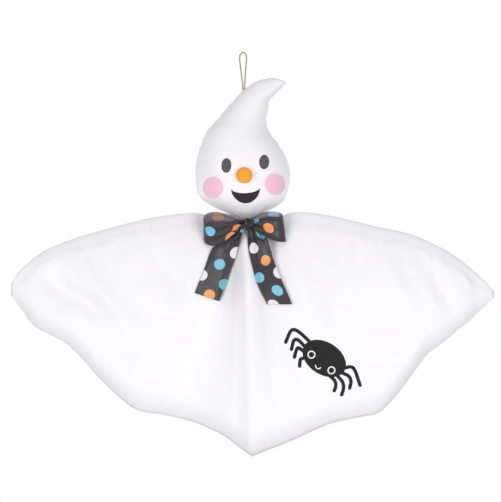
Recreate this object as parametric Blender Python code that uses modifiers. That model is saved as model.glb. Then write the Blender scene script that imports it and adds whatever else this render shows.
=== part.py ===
"""Hanging fabric ghost: a stuffed satin head over one folded sheet of satin on a bendable arm wire.

Metres, +Z up. The origin is inside the top of the hanging loop, where a hook bears. The front faces -Y.
"""

from bisect import bisect_right
from math import cos, exp, pi, sin, sqrt, tanh

import bmesh
import bpy
from mathutils import Matrix, Vector
from mathutils.geometry import delaunay_2d_cdt

MM = 0.001

# Clearances between pieces that touch
GAP = 0.3 * MM
PATCH_GAP = 0.65 * MM  # under a face patch, whose flat faces span the head's ridges
CLOTH_PATCH_GAP = 0.9 * MM  # under the spider patch, which spans the drape's pleats
CASING_EASE = 0.4 * MM  # more room round the wire
COLLAR_EASE = 0.5 * MM  # between the head's neck stub and the drape
BAND_EASE = 0.2 * MM  # between the drape and the bow's band

# Hanging loop: one thread, both ends sewn into the head
THREAD = 1.3 * MM
LOOP_HEIGHT = 33.5 * MM
LOOP_LEAN = 0.7 * MM  # how far right of the hook the loop is sewn in
LOOP_WIDTH = 6.9 * MM
LOOP_FEET = 1.7 * MM  # between the two ends, centre to centre

# Head: a stuffed ball that sweeps up to a point
HEAD_WIDTH = 95 * MM
HEAD_HEIGHT = 141 * MM
HEAD_DEPTH = 76 * MM
LOOP_FOOT = (-0.0126, 0.942)  # where the loop is sewn in, in shares of the head's width and height
NECK_RADIUS = 8.5 * MM
NECK_LENGTH = 22 * MM

# Outline of the head from the neck up: left and right edge in shares of width and height, share of depth
HEAD_STATIONS = (
    ((-0.095, 0.012), (0.095, 0.010), 0.25),
    ((-0.242, 0.062), (0.221, 0.053), 0.60),
    ((-0.411, 0.123), (0.379, 0.113), 0.86),
    ((-0.495, 0.187), (0.445, 0.190), 0.97),
    ((-0.524, 0.300), (0.476, 0.300), 1.00),
    ((-0.513, 0.421), (0.451, 0.413), 0.98),
    ((-0.469, 0.520), (0.368, 0.520), 0.90),
    ((-0.400, 0.626), (0.256, 0.623), 0.76),
    ((-0.300, 0.702), (0.228, 0.694), 0.64),
    ((-0.200, 0.782), (0.244, 0.775), 0.54),
    ((-0.107, 0.851), (0.263, 0.846), 0.45),
    ((-0.021, 0.915), (0.318, 0.885), 0.36),
    ((0.089, 0.967), (0.368, 0.920), 0.27),
    ((0.205, 0.994), (0.403, 0.943), 0.19),
    ((0.316, 1.000), (0.427, 0.960), 0.12),
    ((0.425, 0.978), (0.441, 0.966), 0.03),
)
HEAD_SEGMENTS = 24
STEPS_PER_STATION = 2

# Face: centres in shares of the head's width and height
PATCH_THICKNESS = 0.6 * MM
PATCH_PITCH = 4 * MM  # between a patch's points
EYE_WIDTH = 9.9 * MM
EYE_HEIGHT = 14.6 * MM
LEFT_EYE = (-0.193, 0.374)
RIGHT_EYE = (0.200, 0.399)
CHEEK_WIDTH = 20.5 * MM
CHEEK_HEIGHT = 21 * MM
LEFT_CHEEK = (-0.331, 0.222)
RIGHT_CHEEK = (0.312, 0.246)
NOSE_WIDTH = 16 * MM
NOSE_DEPTH = 8.5 * MM
NOSE = (-0.006, 0.305)
MOUTH_WIDTH = 28.8 * MM
MOUTH_TOP_SAG = 5 * MM
MOUTH_BOTTOM_SAG = 15 * MM
MOUTH = (0.006, 0.216)  # midway between the corners
MOUTH_POWER = 1.1  # 1 makes both edges half ellipses, more makes the corners more pointed
FACE_TILT = 2.6 * pi / 180

# Arm wire
WIRE_RADIUS = 1 * MM
WIRE_LEFT = 190 * MM
WIRE_RIGHT = 185 * MM
WIRE_DIP = 65 * MM  # how far out the wire dips to pass through the neck
WIRE_SLACK = 0.5 * MM  # between the wire and the fold that hangs on it

# Drape: one sheet folded over the wire, measured from the neck's centre
CLOTH = 0.8 * MM
LEFT_REACH = 233.8 * MM
RIGHT_REACH = 248.6 * MM
SHOULDER_DROP = 62 * MM
DRAPE_LENGTH = 234.3 * MM
CASING = 11 * MM  # fold to stitch line
CASING_LEAN = 5 * MM  # how far forward the billowing front pulls the stitch line
CASING_LEAN_FADE = 45 * MM
LEAN_START = 30 * MM  # from the neck and from the tips
STITCH_GAP = 0.6 * MM
FRONT_SPREAD = 44 * MM
BACK_SPREAD = 34 * MM
HALF_SPREAD = 70 * MM  # below the casing, where the cloth has half of its spread
HEM_POINT = 7 * MM  # how far right of the neck the hem's point hangs
HEM_POINT_REACH = 60 * MM  # how far to either side the columns bend towards it
HEM_FAN = 22 * MM  # how much wider the pleats are at the hem than at the neck
HEM_FAN_REACH = 12 * MM
HEM_CURL = 7 * MM
HEM_CURL_HEIGHT = 22 * MM
HEM_CURL_START = 12 * MM  # how full the cloth must be to curl in at the hem
GATHER_DEPTH = 0.9 * MM
GATHER_START = 6 * MM
GATHER_LENGTH = 32 * MM
COLLAR_HEIGHT = 10.5 * MM
COLLAR_FADE = 25 * MM  # below the neck stub, where the cloth leaves the neck's round shape
FLARE_START = 4 * MM
FLARE_FADE = 70 * MM
FULL_CASING = 40 * MM  # columns shorter than this have a narrower casing
FULL_FOLD = 90 * MM  # and than this, shallower folds
FOLD_START = 50 * MM  # below the casing, where a fold has its full height
FOLD_ROUND = 2 * MM  # how rounded a fold's crest is
FOLD_FADE = 26 * MM  # beyond a fold's ends

# Shoulder line: share of the reach, drop in shares of SHOULDER_DROP
LEFT_SHOULDER = (
    (0.041, 0.200), (0.086, 0.130), (0.137, 0.010), (0.190, -0.090), (0.287, -0.080), (0.423, 0.000),
    (0.560, 0.129), (0.697, 0.274), (0.834, 0.468), (0.902, 0.629), (0.971, 0.871), (1.000, 1.040),
)
RIGHT_SHOULDER = (
    (0.041, 0.200), (0.080, 0.130), (0.129, 0.010), (0.181, -0.100), (0.278, -0.097), (0.406, 0.000),
    (0.535, 0.129), (0.664, 0.242), (0.792, 0.468), (0.857, 0.629), (0.921, 0.839), (0.985, 1.081),
    (1.000, 1.165),
)
# Hem line: share of the reach, drop in shares of DRAPE_LENGTH, from the hem's point outwards
LEFT_HEM = (
    (-HEM_POINT / LEFT_REACH, 1.000), (0.013, 0.972), (0.081, 0.921), (0.150, 0.887), (0.218, 0.861),
    (0.355, 0.827), (0.423, 0.819), (0.492, 0.789), (0.629, 0.665), (0.697, 0.588), (0.766, 0.525),
    (0.834, 0.490), (0.902, 0.452), (0.971, 0.367), (1.000, 0.325),
)
RIGHT_HEM = (
    (HEM_POINT / RIGHT_REACH, 1.000), (0.084, 0.977), (0.181, 0.938), (0.342, 0.866), (0.471, 0.836),
    (0.535, 0.819), (0.599, 0.755), (0.664, 0.665), (0.728, 0.576), (0.792, 0.525), (0.921, 0.414),
    (0.985, 0.350), (1.000, 0.335),
)
# Folds in hundredths of DRAPE_LENGTH, right of the neck's centre and down from it: start, end, height, and
# how far the fold reaches to its left and to its right, at its start and at its end
FRONT_FOLDS = (
    ((0.8, 9.0), (3.0, 99.0), 4.4, (4.5, 24.0), (6.0, 26.0)),
    ((0.8, 9.0), (3.0, 99.0), 1.0, (4.0, 4.8), (3.8, 5.6)),
    ((-5.1, 10.7), (-24.3, 81.5), -3.0, (5.0, 20.0), (5.5, 25.0)),
    ((-12.8, 17.0), (-47.8, 70.4), 1.0, (6.0, 14.0), (6.0, 14.0)),
    ((-41.0, 10.2), (-33.0, 22.3), -1.1, (4.3, 5.1), (4.3, 5.1)),
    ((-73.0, 12.8), (-51.0, 45.0), 1.6, (6.0, 8.0), (5.0, 8.5)),
    ((-86.0, 15.0), (-82.0, 28.0), -1.8, (4.5, 5.5), (5.0, 6.5)),
    ((-82.0, 30.0), (-66.0, 38.0), -1.6, (5.0, 5.5), (5.0, 6.0)),
    ((17.1, 10.7), (34.1, 51.2), 1.0, (5.1, 7.7), (6.0, 11.0)),
    ((57.0, 12.0), (65.0, 27.0), 1.2, (6.0, 7.7), (5.0, 5.1)),
    ((67.5, 13.7), (79.0, 30.0), -1.8, (5.1, 5.1), (5.5, 5.5)),
    ((85.5, 17.0), (91.0, 32.0), 1.5, (4.3, 4.3), (5.0, 5.0)),
)
BACK_FOLDS = (
    ((-1.3, 10.7), (-3.4, 96.0), -3.0, (3.4, 9.0), (6.0, 20.0)),
    ((5.1, 10.7), (24.8, 81.0), 2.8, (6.0, 22.0), (5.0, 16.0)),
    ((-7.7, 12.8), (-27.3, 79.0), 2.1, (5.0, 15.0), (4.0, 11.0)),
    ((-17.0, 12.8), (-55.5, 59.8), -1.7, (6.0, 10.0), (6.0, 10.0)),
    ((17.0, 12.8), (51.2, 61.9), -1.5, (6.0, 10.0), (6.0, 10.0)),
    ((-64.0, 15.0), (-56.3, 51.2), 1.5, (5.1, 8.0), (5.1, 8.0)),
    ((64.0, 15.0), (59.8, 47.0), 1.3, (5.1, 8.0), (6.0, 8.0)),
    ((-87.5, 20.5), (-85.4, 39.3), 1.3, (4.3, 5.0), (4.3, 5.0)),
    ((79.0, 17.0), (90.5, 33.3), -1.5, (4.3, 5.0), (4.3, 5.0)),
)
SIDE_COLUMNS = 24
COLLAR_STEPS = 6
BODY_ROWS = (0.10, 0.23, 0.37, 0.52, 0.67, 0.80, 0.91, 1.0)

# Ribbon bow
RIBBON_WIDTH = 25.4 * MM
RIBBON = 0.8 * MM
RIBBON_PITCH = 7 * MM  # between the ribbon's points
BAND_HEIGHT = 8 * MM
BAND_DROP = 1.2 * MM  # below the middle of the collar
BAND_SEGMENTS = 24
KNOT_WIDTH = 13.5 * MM
KNOT_HEIGHT = 12.5 * MM
KNOT_DEPTH = 11 * MM
KNOT_RIGHT = 2.6 * MM  # of the neck's centre
KNOT_DROP = 4.6 * MM  # below it
BOW_REACH = 41.5 * MM  # from the neck's centre to a loop's bend
TAIL_LIFT = 3.2 * MM  # the tails' mid-surface over the drape
TAIL_FRONT = 2 * MM  # and, near the knot, over the band
DOT_RADIUS = 5.4 * MM
DOT_SPACING = 13.6 * MM  # along the ribbon, from one dot to the next
DOT_OFFSET = 6.8 * MM  # across the ribbon, from its middle
# Loops: right, back and up in shares of BOW_REACH; width in shares of the ribbon's; depth of the folds
BOW_LOOP = (
    ((0.05, -0.39, -0.17), 0.34, 0), ((0.30, -0.50, -0.22), 0.72, 1.3 * MM),
    ((0.62, -0.56, -0.30), 1.0, 0.8 * MM), ((0.90, -0.52, -0.33), 1.0, 0.2 * MM),
    ((1.00, -0.38, -0.27), 1.0, 0), ((0.88, -0.24, -0.18), 1.0, 0.3 * MM),
    ((0.55, -0.20, -0.10), 0.8, 0.8 * MM), ((0.05, -0.34, -0.12), 0.34, 0),
)
BOW_LOOP_LEAN = 0.14
ROUNDING_LOSS = 1.35  # how much smaller subdivision makes a cube
LOOP_FIRST_DOT = 12 * MM
# Tails: middle from the neck's centre, and the line from edge to edge, in ribbon widths, right and up
LEFT_TAIL = (
    ((-0.06, -0.27), (0.24, 0.08)), ((-0.39, -0.64), (0.55, 0.05)), ((-0.67, -1.02), (0.82, -0.09)),
    ((-0.83, -1.30), (0.95, -0.22)), ((-1.09, -2.03), (0.94, -0.33)), ((-1.28, -2.54), (0.95, -0.33)),
    ((-1.48, -3.05), (0.95, -0.33)),
)
RIGHT_TAIL = (
    ((0.20, -0.27), (0.22, -0.03)), ((0.43, -0.66), (0.67, 0.08)), ((0.54, -1.09), (0.80, 0.21)),
    ((0.73, -1.81), (0.82, 0.32)), ((0.94, -2.39), (0.90, 0.26)), ((1.36, -3.33), (0.97, 0.00)),
)
TAIL_CREASES = (0, 1.4 * MM, 0.8 * MM, 0.4 * MM, 0.2 * MM, 0.1 * MM, 0.1 * MM)
TAIL_FIRST_DOT = 26 * MM

# Spider patch, measured from the centre of its body
SPIDER_AT = (78.5 * MM, -138 * MM)  # from the neck's centre
SPIDER_LENGTH = 47 * MM
SPIDER_HEIGHT = 32 * MM
SPIDER_TILT = -33 * pi / 180
LEG_WIDTH = 3.5 * MM
RING_RADIUS = 4.1 * MM
RING_HOLE = 2.5 * MM
SMILE_WIDTH = 1.3 * MM
# Legs: from hip over the knee to the foot, in shares of SPIDER_LENGTH, right and up
SPIDER_LEGS = (
    ((-0.323, 0.370), (-0.550, 0.568), (-0.695, 0.585), (-0.813, 0.343)),
    ((-0.400, 0.240), (-0.549, 0.385), (-0.640, 0.375), (-0.690, 0.194)),
    ((-0.430, 0.150), (-0.545, 0.222), (-0.591, 0.165), (-0.628, 0.030)),
    ((-0.430, 0.010), (-0.500, -0.020), (-0.515, -0.090), (-0.520, -0.160)),
    ((0.430, -0.200), (0.564, -0.180), (0.649, -0.260), (0.755, -0.566)),
    ((0.390, -0.310), (0.515, -0.374), (0.562, -0.481), (0.536, -0.623)),
    ((0.270, -0.360), (0.380, -0.490), (0.405, -0.623), (0.366, -0.764)),
    ((0.120, -0.370), (0.225, -0.475), (0.240, -0.587), (0.209, -0.679)),
)
SPIDER_EYES = ((-0.270, 0.080), (0.150, -0.250))
SPIDER_SMILE = ((-0.195, -0.150), (-0.165, -0.225), (-0.110, -0.245), (-0.060, -0.210))

# Places that follow from the sizes above
NECK_X = LOOP_LEAN - LOOP_FOOT[0] * HEAD_WIDTH
NECK_Z = -LOOP_HEIGHT - LOOP_FOOT[1] * HEAD_HEIGHT
COLLAR_RADIUS = NECK_RADIUS + GAP + CLOTH / 2 + COLLAR_EASE
BAND_RADIUS = COLLAR_RADIUS + CLOTH / 2 + GAP + BAND_EASE + RIBBON / 2


def clear_scene():
    for obj in list(bpy.data.objects):
        bpy.data.objects.remove(obj)


def make_collection(name):
    collection = bpy.data.collections.new(name)
    bpy.context.scene.collection.children.link(collection)
    return collection


def make_material(name, colour, roughness, metallic=0.0):
    material = bpy.data.materials.new(name)
    material.use_nodes = True
    shader = material.node_tree.nodes["Principled BSDF"]
    shader.inputs["Base Color"].default_value = (*colour, 1)
    shader.inputs["Roughness"].default_value = roughness
    shader.inputs["Metallic"].default_value = metallic
    return material


def add_object(name, data, collection, *materials):
    obj = bpy.data.objects.new(name, data)
    collection.objects.link(obj)
    for material in materials:
        data.materials.append(material)
    return obj


def smooth(points, at):
    """The value at `at` on a smooth curve through (key, value) points."""
    keys = [key for key, value in points]
    low = min(max(bisect_right(keys, at) - 1, 0), len(points) - 2)
    step = keys[low + 1] - keys[low]
    t = min(max((at - keys[low]) / step, 0), 1)

    def slope(i):
        before, after = max(i - 1, 0), min(i + 1, len(points) - 1)
        return (points[after][1] - points[before][1]) * (1 / (keys[after] - keys[before]))

    start, end = points[low][1], points[low + 1][1]
    return (
        start * (2 * t**3 - 3 * t**2 + 1)
        + slope(low) * (step * (t**3 - 2 * t**2 + t))
        + end * (3 * t**2 - 2 * t**3)
        + slope(low + 1) * (step * (t**3 - t**2))
    )


def curve_through(points, count):
    """`count` points, evenly spaced in parameter, on a smooth curve through the given ones."""
    keyed = [(i, Vector(point)) for i, point in enumerate(points)]
    return [smooth(keyed, i * (len(points) - 1) / (count - 1)) for i in range(count)]


def mesh_from(name, vertices, faces):
    """A smooth-shaded mesh with its repeated points made one."""
    bm = bmesh.new()
    made = [bm.verts.new(vertex) for vertex in vertices]
    for face in faces:
        bm.faces.new([made[i] for i in face])
    bmesh.ops.remove_doubles(bm, verts=bm.verts, dist=0.01 * MM)
    mesh = bpy.data.meshes.new(name)
    bm.to_mesh(mesh)
    bm.free()
    mesh.shade_smooth()
    return mesh


def loft(name, rings):
    """A closed mesh through rings of the same number of points, capped at both ends."""
    size = len(rings[0])
    faces = [
        (i * size + j, i * size + (j + 1) % size, (i + 1) * size + (j + 1) % size, (i + 1) * size + j)
        for i in range(len(rings) - 1)
        for j in range(size)
    ]
    last = (len(rings) - 1) * size
    faces += [tuple(reversed(range(size))), tuple(range(last, last + size))]
    return mesh_from(name, [point for ring in rings for point in ring], faces)


def thicken(obj, thickness, offset=0.0):
    solidify = obj.modifiers.new("Thickness", "SOLIDIFY")
    solidify.thickness = thickness
    solidify.offset = offset


def wrap_onto(obj, target, gap):
    """Projects a flat piece along Y onto the front of the target, `gap` off its surface."""
    wrap = obj.modifiers.new("Laid on", "SHRINKWRAP")
    wrap.target = target
    wrap.wrap_method = "PROJECT"
    wrap.wrap_mode = "ABOVE_SURFACE"
    wrap.use_project_x = wrap.use_project_z = False
    wrap.use_project_y = True
    wrap.use_positive_direction = True
    wrap.use_negative_direction = False
    wrap.offset = gap


def front_of(obj, x, z):
    """The Y of the object's foremost surface at x, z."""
    evaluated = obj.evaluated_get(bpy.context.evaluated_depsgraph_get())
    found, place, _, _ = evaluated.ray_cast((x, -1, z), (0, 1, 0))
    return place.y if found else 0.0


def top_of(obj, x, y):
    """The Z of the object's highest surface at x, y."""
    evaluated = obj.evaluated_get(bpy.context.evaluated_depsgraph_get())
    found, place, _, _ = evaluated.ray_cast((x, y, 1), (0, 0, -1))
    return place.z if found else 0.0


def in_head(share):
    """x, z of a place given in shares of the head's width and height."""
    return NECK_X + share[0] * HEAD_WIDTH, NECK_Z + share[1] * HEAD_HEIGHT


def head_rings():
    """Rings from the foot of the neck stub to the swept point."""
    stations = []
    for (left, right, depth) in HEAD_STATIONS:
        left_x, left_z = in_head(left)
        right_x, right_z = in_head(right)
        stations.append(((left_x, left_z), (right_x, right_z), depth * HEAD_DEPTH / 2))
    for drop, radius in ((0.25, 1.0), (0.92, 1.0), (1.0, 0.8)):
        z = NECK_Z - drop * NECK_LENGTH
        reach = radius * NECK_RADIUS
        stations.insert(0, ((NECK_X - reach, z), (NECK_X + reach, z), reach))
    edges = [(i, Vector((*left, *right))) for i, (left, right, _) in enumerate(stations)]
    depths = [(i, depth) for i, (_, _, depth) in enumerate(stations)]
    rings = []
    for step in range((len(stations) - 1) * STEPS_PER_STATION + 1):
        at = step / STEPS_PER_STATION
        left_x, left_z, right_x, right_z = smooth(edges, at)
        depth = smooth(depths, at)
        middle = Vector(((left_x + right_x) / 2, 0, (left_z + right_z) / 2))
        half = Vector(((right_x - left_x) / 2, 0, (right_z - left_z) / 2))
        turns = [2 * pi * j / HEAD_SEGMENTS for j in range(HEAD_SEGMENTS)]
        rings.append([middle + half * cos(turn) + Vector((0, depth * sin(turn), 0)) for turn in turns])
    return rings


def make_head(collection, cutters, satin):
    head = add_object("head", loft("head", head_rings()), collection, satin)
    bpy.ops.mesh.primitive_cylinder_add(
        vertices=16,
        radius=WIRE_RADIUS + GAP,
        depth=4 * NECK_RADIUS,
        location=(NECK_X, 0, wire_z(COLLAR_RADIUS)),
        rotation=(0, pi / 2, 0),
    )
    bore = bpy.context.active_object
    bore.name = "wire_bore_cutter"
    bore.hide_render = True
    bore.display_type = "WIRE"
    for holder in list(bore.users_collection):
        holder.objects.unlink(bore)
    cutters.objects.link(bore)
    cut = head.modifiers.new("Wire bore", "BOOLEAN")
    cut.operation = "DIFFERENCE"
    cut.object = bore
    return head


def shoulder_z(u):
    """Height of the drape's fold at a distance u right of the neck (negative to the left)."""
    reach, line = (LEFT_REACH, LEFT_SHOULDER) if u < 0 else (RIGHT_REACH, RIGHT_SHOULDER)
    return NECK_Z - smooth(line, abs(u) / reach) * SHOULDER_DROP


def hem_z(u):
    if u < HEM_POINT:
        return NECK_Z - smooth(LEFT_HEM, -u / LEFT_REACH) * DRAPE_LENGTH
    return NECK_Z - smooth(RIGHT_HEM, u / RIGHT_REACH) * DRAPE_LENGTH


def wire_z(u):
    return shoulder_z(u) - CLOTH / 2 - WIRE_SLACK - WIRE_RADIUS


def column_tops():
    """Distances from the neck at which the drape's columns start, left tip to right tip."""
    left, right = (
        [COLLAR_RADIUS + (reach - COLLAR_RADIUS) * i / SIDE_COLUMNS for i in range(1, SIDE_COLUMNS + 1)]
        for reach in (LEFT_REACH, RIGHT_REACH)
    )
    collar = [-COLLAR_RADIUS * cos(pi * i / COLLAR_STEPS) for i in range(COLLAR_STEPS + 1)]
    return [-u for u in reversed(left)] + collar + right


def column_foot(u):
    """Where at the hem a column ends that starts at u."""
    reach = LEFT_REACH if u < 0 else RIGHT_REACH
    spare = max(0, 1 - abs(u) / reach)
    fan = HEM_FAN * tanh(u / HEM_FAN_REACH)
    return u + spare * (fan + HEM_POINT * exp(-((u / HEM_POINT_REACH) ** 2)))


def fold_height(folds, x, drop):
    """How far the folds stand out at a place x, drop from the neck's centre."""
    unit = DRAPE_LENGTH / 100
    spot = Vector((x, drop))
    total = 0
    for start, end, height, left, right in folds:
        line = (Vector(end) - Vector(start)) * unit
        offset = spot - Vector(start) * unit
        along = offset.dot(line) / line.length_squared
        aside = offset.cross(line) / line.length
        near, far = right if aside > 0 else left
        reach = (near + (far - near) * min(max(along, 0), 1)) * unit
        crest = max(0, 1 - (sqrt(aside**2 + FOLD_ROUND**2) - FOLD_ROUND) / reach)
        beyond = max(-along, along - 1, 0) * line.length / FOLD_FADE
        total += height * unit * crest**1.4 * exp(-(beyond**2))
    return total


def casing_half(down):
    """Half the width of the casing round the wire, `down` below the fold."""
    swell = WIRE_RADIUS + GAP + CLOTH / 2 + CASING_EASE
    stitched = STITCH_GAP / 2 + CLOTH / 2
    if down < 2 * swell:
        return swell * sqrt(max(0, 1 - (1 - down / swell) ** 2)) if down < swell else swell
    return swell + (stitched - swell) * min((down - 2 * swell) / (CASING - 2 * swell), 1)


def casing_lean(u, down):
    """How far forward both layers lie."""
    start = 2 * (WIRE_RADIUS + GAP + CLOTH / 2 + CASING_EASE)
    share = min(max((down - start) / (CASING - start), 0), 1)
    reach = LEFT_REACH if u < 0 else RIGHT_REACH
    away = min(max((abs(u) - COLLAR_RADIUS) / LEAN_START, 0), 1) * min((reach - abs(u)) / LEAN_START, 1)
    return CASING_LEAN * share**1.3 * exp(-max(0, down - CASING) / CASING_LEAN_FADE) * away


def cloth_half(u, down, length, side):
    """How far one layer stands off the wire's plane: side is -1 for the front and 1 for the back."""
    spread, folds = (FRONT_SPREAD, FRONT_FOLDS) if side < 0 else (BACK_SPREAD, BACK_FOLDS)
    share = down / length
    x = u + share * (column_foot(u) - u)
    reach = LEFT_REACH if x < 0 else RIGHT_REACH
    below = max(0, down - CASING * min(1, length / FULL_CASING))
    body = spread * below / (below + HALF_SPREAD) * (1 - 0.55 * (x / reach) ** 2)
    rise = min(1, below / FOLD_START) * min(1, length / FULL_FOLD)
    body = max(0, body + rise * fold_height(folds, x, down + NECK_Z - shoulder_z(u)))
    gather = cos(2 * pi * u / gather_pitch(u)) * min(1, below / GATHER_START)
    body += GATHER_DEPTH * gather * exp(-below / GATHER_LENGTH)
    curl = max(0, 1 - (length - down) / HEM_CURL_HEIGHT)
    body -= HEM_CURL * curl**2 * min(1, body / HEM_CURL_START)
    collar = COLLAR_RADIUS * sqrt(max(0, 1 - (u / COLLAR_RADIUS) ** 2))
    flare = COLLAR_RADIUS * exp(-((u / (1.7 * COLLAR_RADIUS)) ** 2)) * (1 - exp(-down / FLARE_START))
    near = exp(-max(0, down - NECK_LENGTH) / COLLAR_FADE)
    return max(casing_half(down), collar * near, flare * exp(-down / FLARE_FADE)) + body


def gather_pitch(u):
    """Two columns make one gather."""
    reach = LEFT_REACH if u < 0 else RIGHT_REACH
    return 2 * (reach - COLLAR_RADIUS) / SIDE_COLUMNS


def column_points(u, side):
    """One layer's points down the column that starts at u."""
    top, foot = shoulder_z(u), hem_z(column_foot(u))
    collar = max(0, 1 - (u / COLLAR_RADIUS) ** 2)
    top += COLLAR_HEIGHT * collar
    length = top - foot
    casing = CASING * min(1, length / FULL_CASING)
    downs = [0, 0.06 * casing, 0.2 * casing, 0.45 * casing, casing]
    downs += [casing + share * (length - casing) for share in BODY_ROWS]
    points = []
    for down in downs:
        share = down / length
        x = u + share * (column_foot(u) - u)
        if down == 0:
            half = COLLAR_RADIUS * sqrt(collar)
        else:
            half = cloth_half(u, down, length, side)
        points.append(Vector((NECK_X + x, side * half - casing_lean(u, down), top - down)))
    return points


def make_drape(collection, satin):
    tops = column_tops()
    vertices, faces = [], []
    for side in (-1, 1):
        grid = []
        for u in tops:
            grid.append(range(len(vertices), len(vertices) + len(BODY_ROWS) + 5))
            vertices += column_points(u, side)
        for left, right in zip(grid, grid[1:]):
            for upper in range(len(left) - 1):
                face = (left[upper], left[upper + 1], right[upper + 1], right[upper])
                faces.append(face if side < 0 else face[::-1])
    drape = add_object("drape", mesh_from("drape", vertices, faces), collection, satin)
    thicken(drape, CLOTH)
    return drape


def make_wire(collection, steel):
    starts = [u for i, u in enumerate(column_tops()) if i % 2 == 0 or abs(u) < WIRE_DIP]
    starts = [u for u in starts if -WIRE_LEFT < u < WIRE_RIGHT and abs(u) > COLLAR_RADIUS]
    stops = [-WIRE_LEFT] + starts + [WIRE_RIGHT]
    left = [u for u in stops if u < 0]
    right = [u for u in stops if u > 0]
    across = [-COLLAR_RADIUS, COLLAR_RADIUS]
    points = [(NECK_X + u, 0, wire_z(u)) for u in left + across + right]
    return thin_tube("arm_wire", points, WIRE_RADIUS, collection, steel)


def thin_tube(name, points, radius, collection, material):
    curve = bpy.data.curves.new(name, "CURVE")
    curve.dimensions = "3D"
    curve.bevel_depth = radius
    curve.bevel_resolution = 2
    curve.use_fill_caps = True
    spline = curve.splines.new("POLY")
    spline.points.add(len(points) - 1)
    for spot, place in zip(spline.points, points):
        spot.co = (*place, 1)
    return add_object(name, curve, collection, material)


def make_loop(collection, head, thread):
    foot_x = in_head(LOOP_FOOT)[0]
    top = THREAD / 2
    half = LOOP_WIDTH / 2
    feet = []
    for side in (-1, 1):
        x = foot_x + side * LOOP_FEET / 2
        height = max(top_of(head, x + edge * THREAD / 2, 0) for edge in (-1, 1))
        feet.append(Vector((x, 0, height + GAP)))
    route = [
        feet[0], (-0.38 * half, 0, -0.72 * LOOP_HEIGHT), (-0.8 * half, 0, -0.38 * LOOP_HEIGHT),
        (-half, 0, -0.13 * LOOP_HEIGHT), (-0.62 * half, 0, -0.02 * LOOP_HEIGHT), (0, 0, top),
        (0.62 * half, 0, -0.02 * LOOP_HEIGHT), (half, 0, -0.13 * LOOP_HEIGHT),
        (0.84 * half, 0, -0.38 * LOOP_HEIGHT), (0.6 * half, 0, -0.72 * LOOP_HEIGHT), feet[1],
    ]
    return thin_tube("hanging_loop", curve_through(route, 31), THREAD / 2, collection, thread)


def circle(centre, radius_x, radius_y, count, turn=0.0):
    """A flat outline, drawn anticlockwise."""
    spots = []
    for i in range(count):
        spot = Vector((radius_x * cos(2 * pi * i / count), radius_y * sin(2 * pi * i / count)))
        spots.append(Vector(centre) + Matrix.Rotation(turn, 2) @ spot)
    return spots


def stroke(points, width):
    """The flat outline of a thick line with rounded ends."""
    left, right = [], []
    for i, point in enumerate(points):
        ahead = points[min(i + 1, len(points) - 1)] - points[max(i - 1, 0)]
        normal = Vector((-ahead.y, ahead.x)).normalized() * width / 2
        left.append(point + normal)
        right.append(point - normal)
    start = points[0] - (points[1] - points[0]).normalized() * width / 2
    end = points[-1] + (points[-1] - points[-2]).normalized() * width / 2
    return [start] + right + [end] + left[::-1]


def inside(point, outline):
    crossings = 0
    for a, b in zip(outline, outline[1:] + outline[:1]):
        if (a.y > point.y) != (b.y > point.y):
            crossings += point.x < a.x + (point.y - a.y) * (b.x - a.x) / (b.y - a.y)
    return crossings % 2 == 1


def flat_pattern(outlines, marks, pitch):
    """Triangles that cover the union of the outlines, with each mark's border cut in.

    A mark is (outline, hole or None, slot). It returns the flat points, the triangles and their slots.
    """
    spots, borders, shapes = [], [], []
    for outline in outlines:
        shapes.append(list(range(len(spots), len(spots) + len(outline))))
        spots += outline
    for outline, hole, _ in marks:
        for loop in filter(None, (outline, hole)):
            first = len(spots)
            borders += [(first + i, first + (i + 1) % len(loop)) for i in range(len(loop))]
            spots += loop
    edge = list(spots)
    low_x, high_x = min(p.x for p in edge), max(p.x for p in edge)
    low_y, high_y = min(p.y for p in edge), max(p.y for p in edge)
    for i in range(1, int((high_x - low_x) / pitch) + 1):
        for j in range(1, int((high_y - low_y) / pitch) + 1):
            spot = Vector((low_x + (i - 0.5 * (j % 2)) * pitch, low_y + j * pitch))
            clear = min((spot - other).length for other in edge) > 0.55 * pitch
            if clear and any(inside(spot, outline) for outline in outlines):
                spots.append(spot)
    points, _, triangles = delaunay_2d_cdt(spots, borders, shapes, 1, 1e-6)[:3]
    slots = []
    for triangle in triangles:
        middle = sum((points[i] for i in triangle), Vector((0, 0))) / 3
        slot = 0
        for outline, hole, number in marks:
            if inside(middle, outline) and not (hole and inside(middle, hole)):
                slot = number
        slots.append(slot)
    return points, triangles, slots


def pattern_mesh(name, outlines, marks, pitch, place):
    """A mesh of a flat pattern whose points are put in space by `place(point)`."""
    points, triangles, slots = flat_pattern(outlines, marks, pitch)
    mesh = bpy.data.meshes.new(name)
    mesh.from_pydata([place(point) for point in points], [], triangles)
    for polygon, slot in zip(mesh.polygons, slots):
        polygon.material_index = slot
    mesh.shade_smooth()
    return mesh


def make_patch(name, outlines, marks, target, gap, collection, *materials):
    """A thin patch laid on the front of the target, `gap` off it."""

    def place(point):
        return Vector((point.x, -0.5, point.y))

    mesh = pattern_mesh(name, outlines, marks, PATCH_PITCH, place)
    patch = add_object(name, mesh, collection, *materials)
    wrap_onto(patch, target, gap)
    thicken(patch, PATCH_THICKNESS, 1)
    return patch


def mouth_outline():
    """A crescent between two arcs that meet at the corners."""
    count = 12
    spots = []
    for sag, steps in ((MOUTH_BOTTOM_SAG, range(count + 1)), (MOUTH_TOP_SAG, range(count - 1, 0, -1))):
        for i in steps:
            turn = pi * i / count
            spots.append(Vector((-cos(turn) * MOUTH_WIDTH / 2, -sag * sin(turn) ** MOUTH_POWER)))
    turn = Matrix.Rotation(FACE_TILT, 2)
    return [turn @ spot + Vector(in_head(MOUTH)) for spot in spots]


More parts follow.
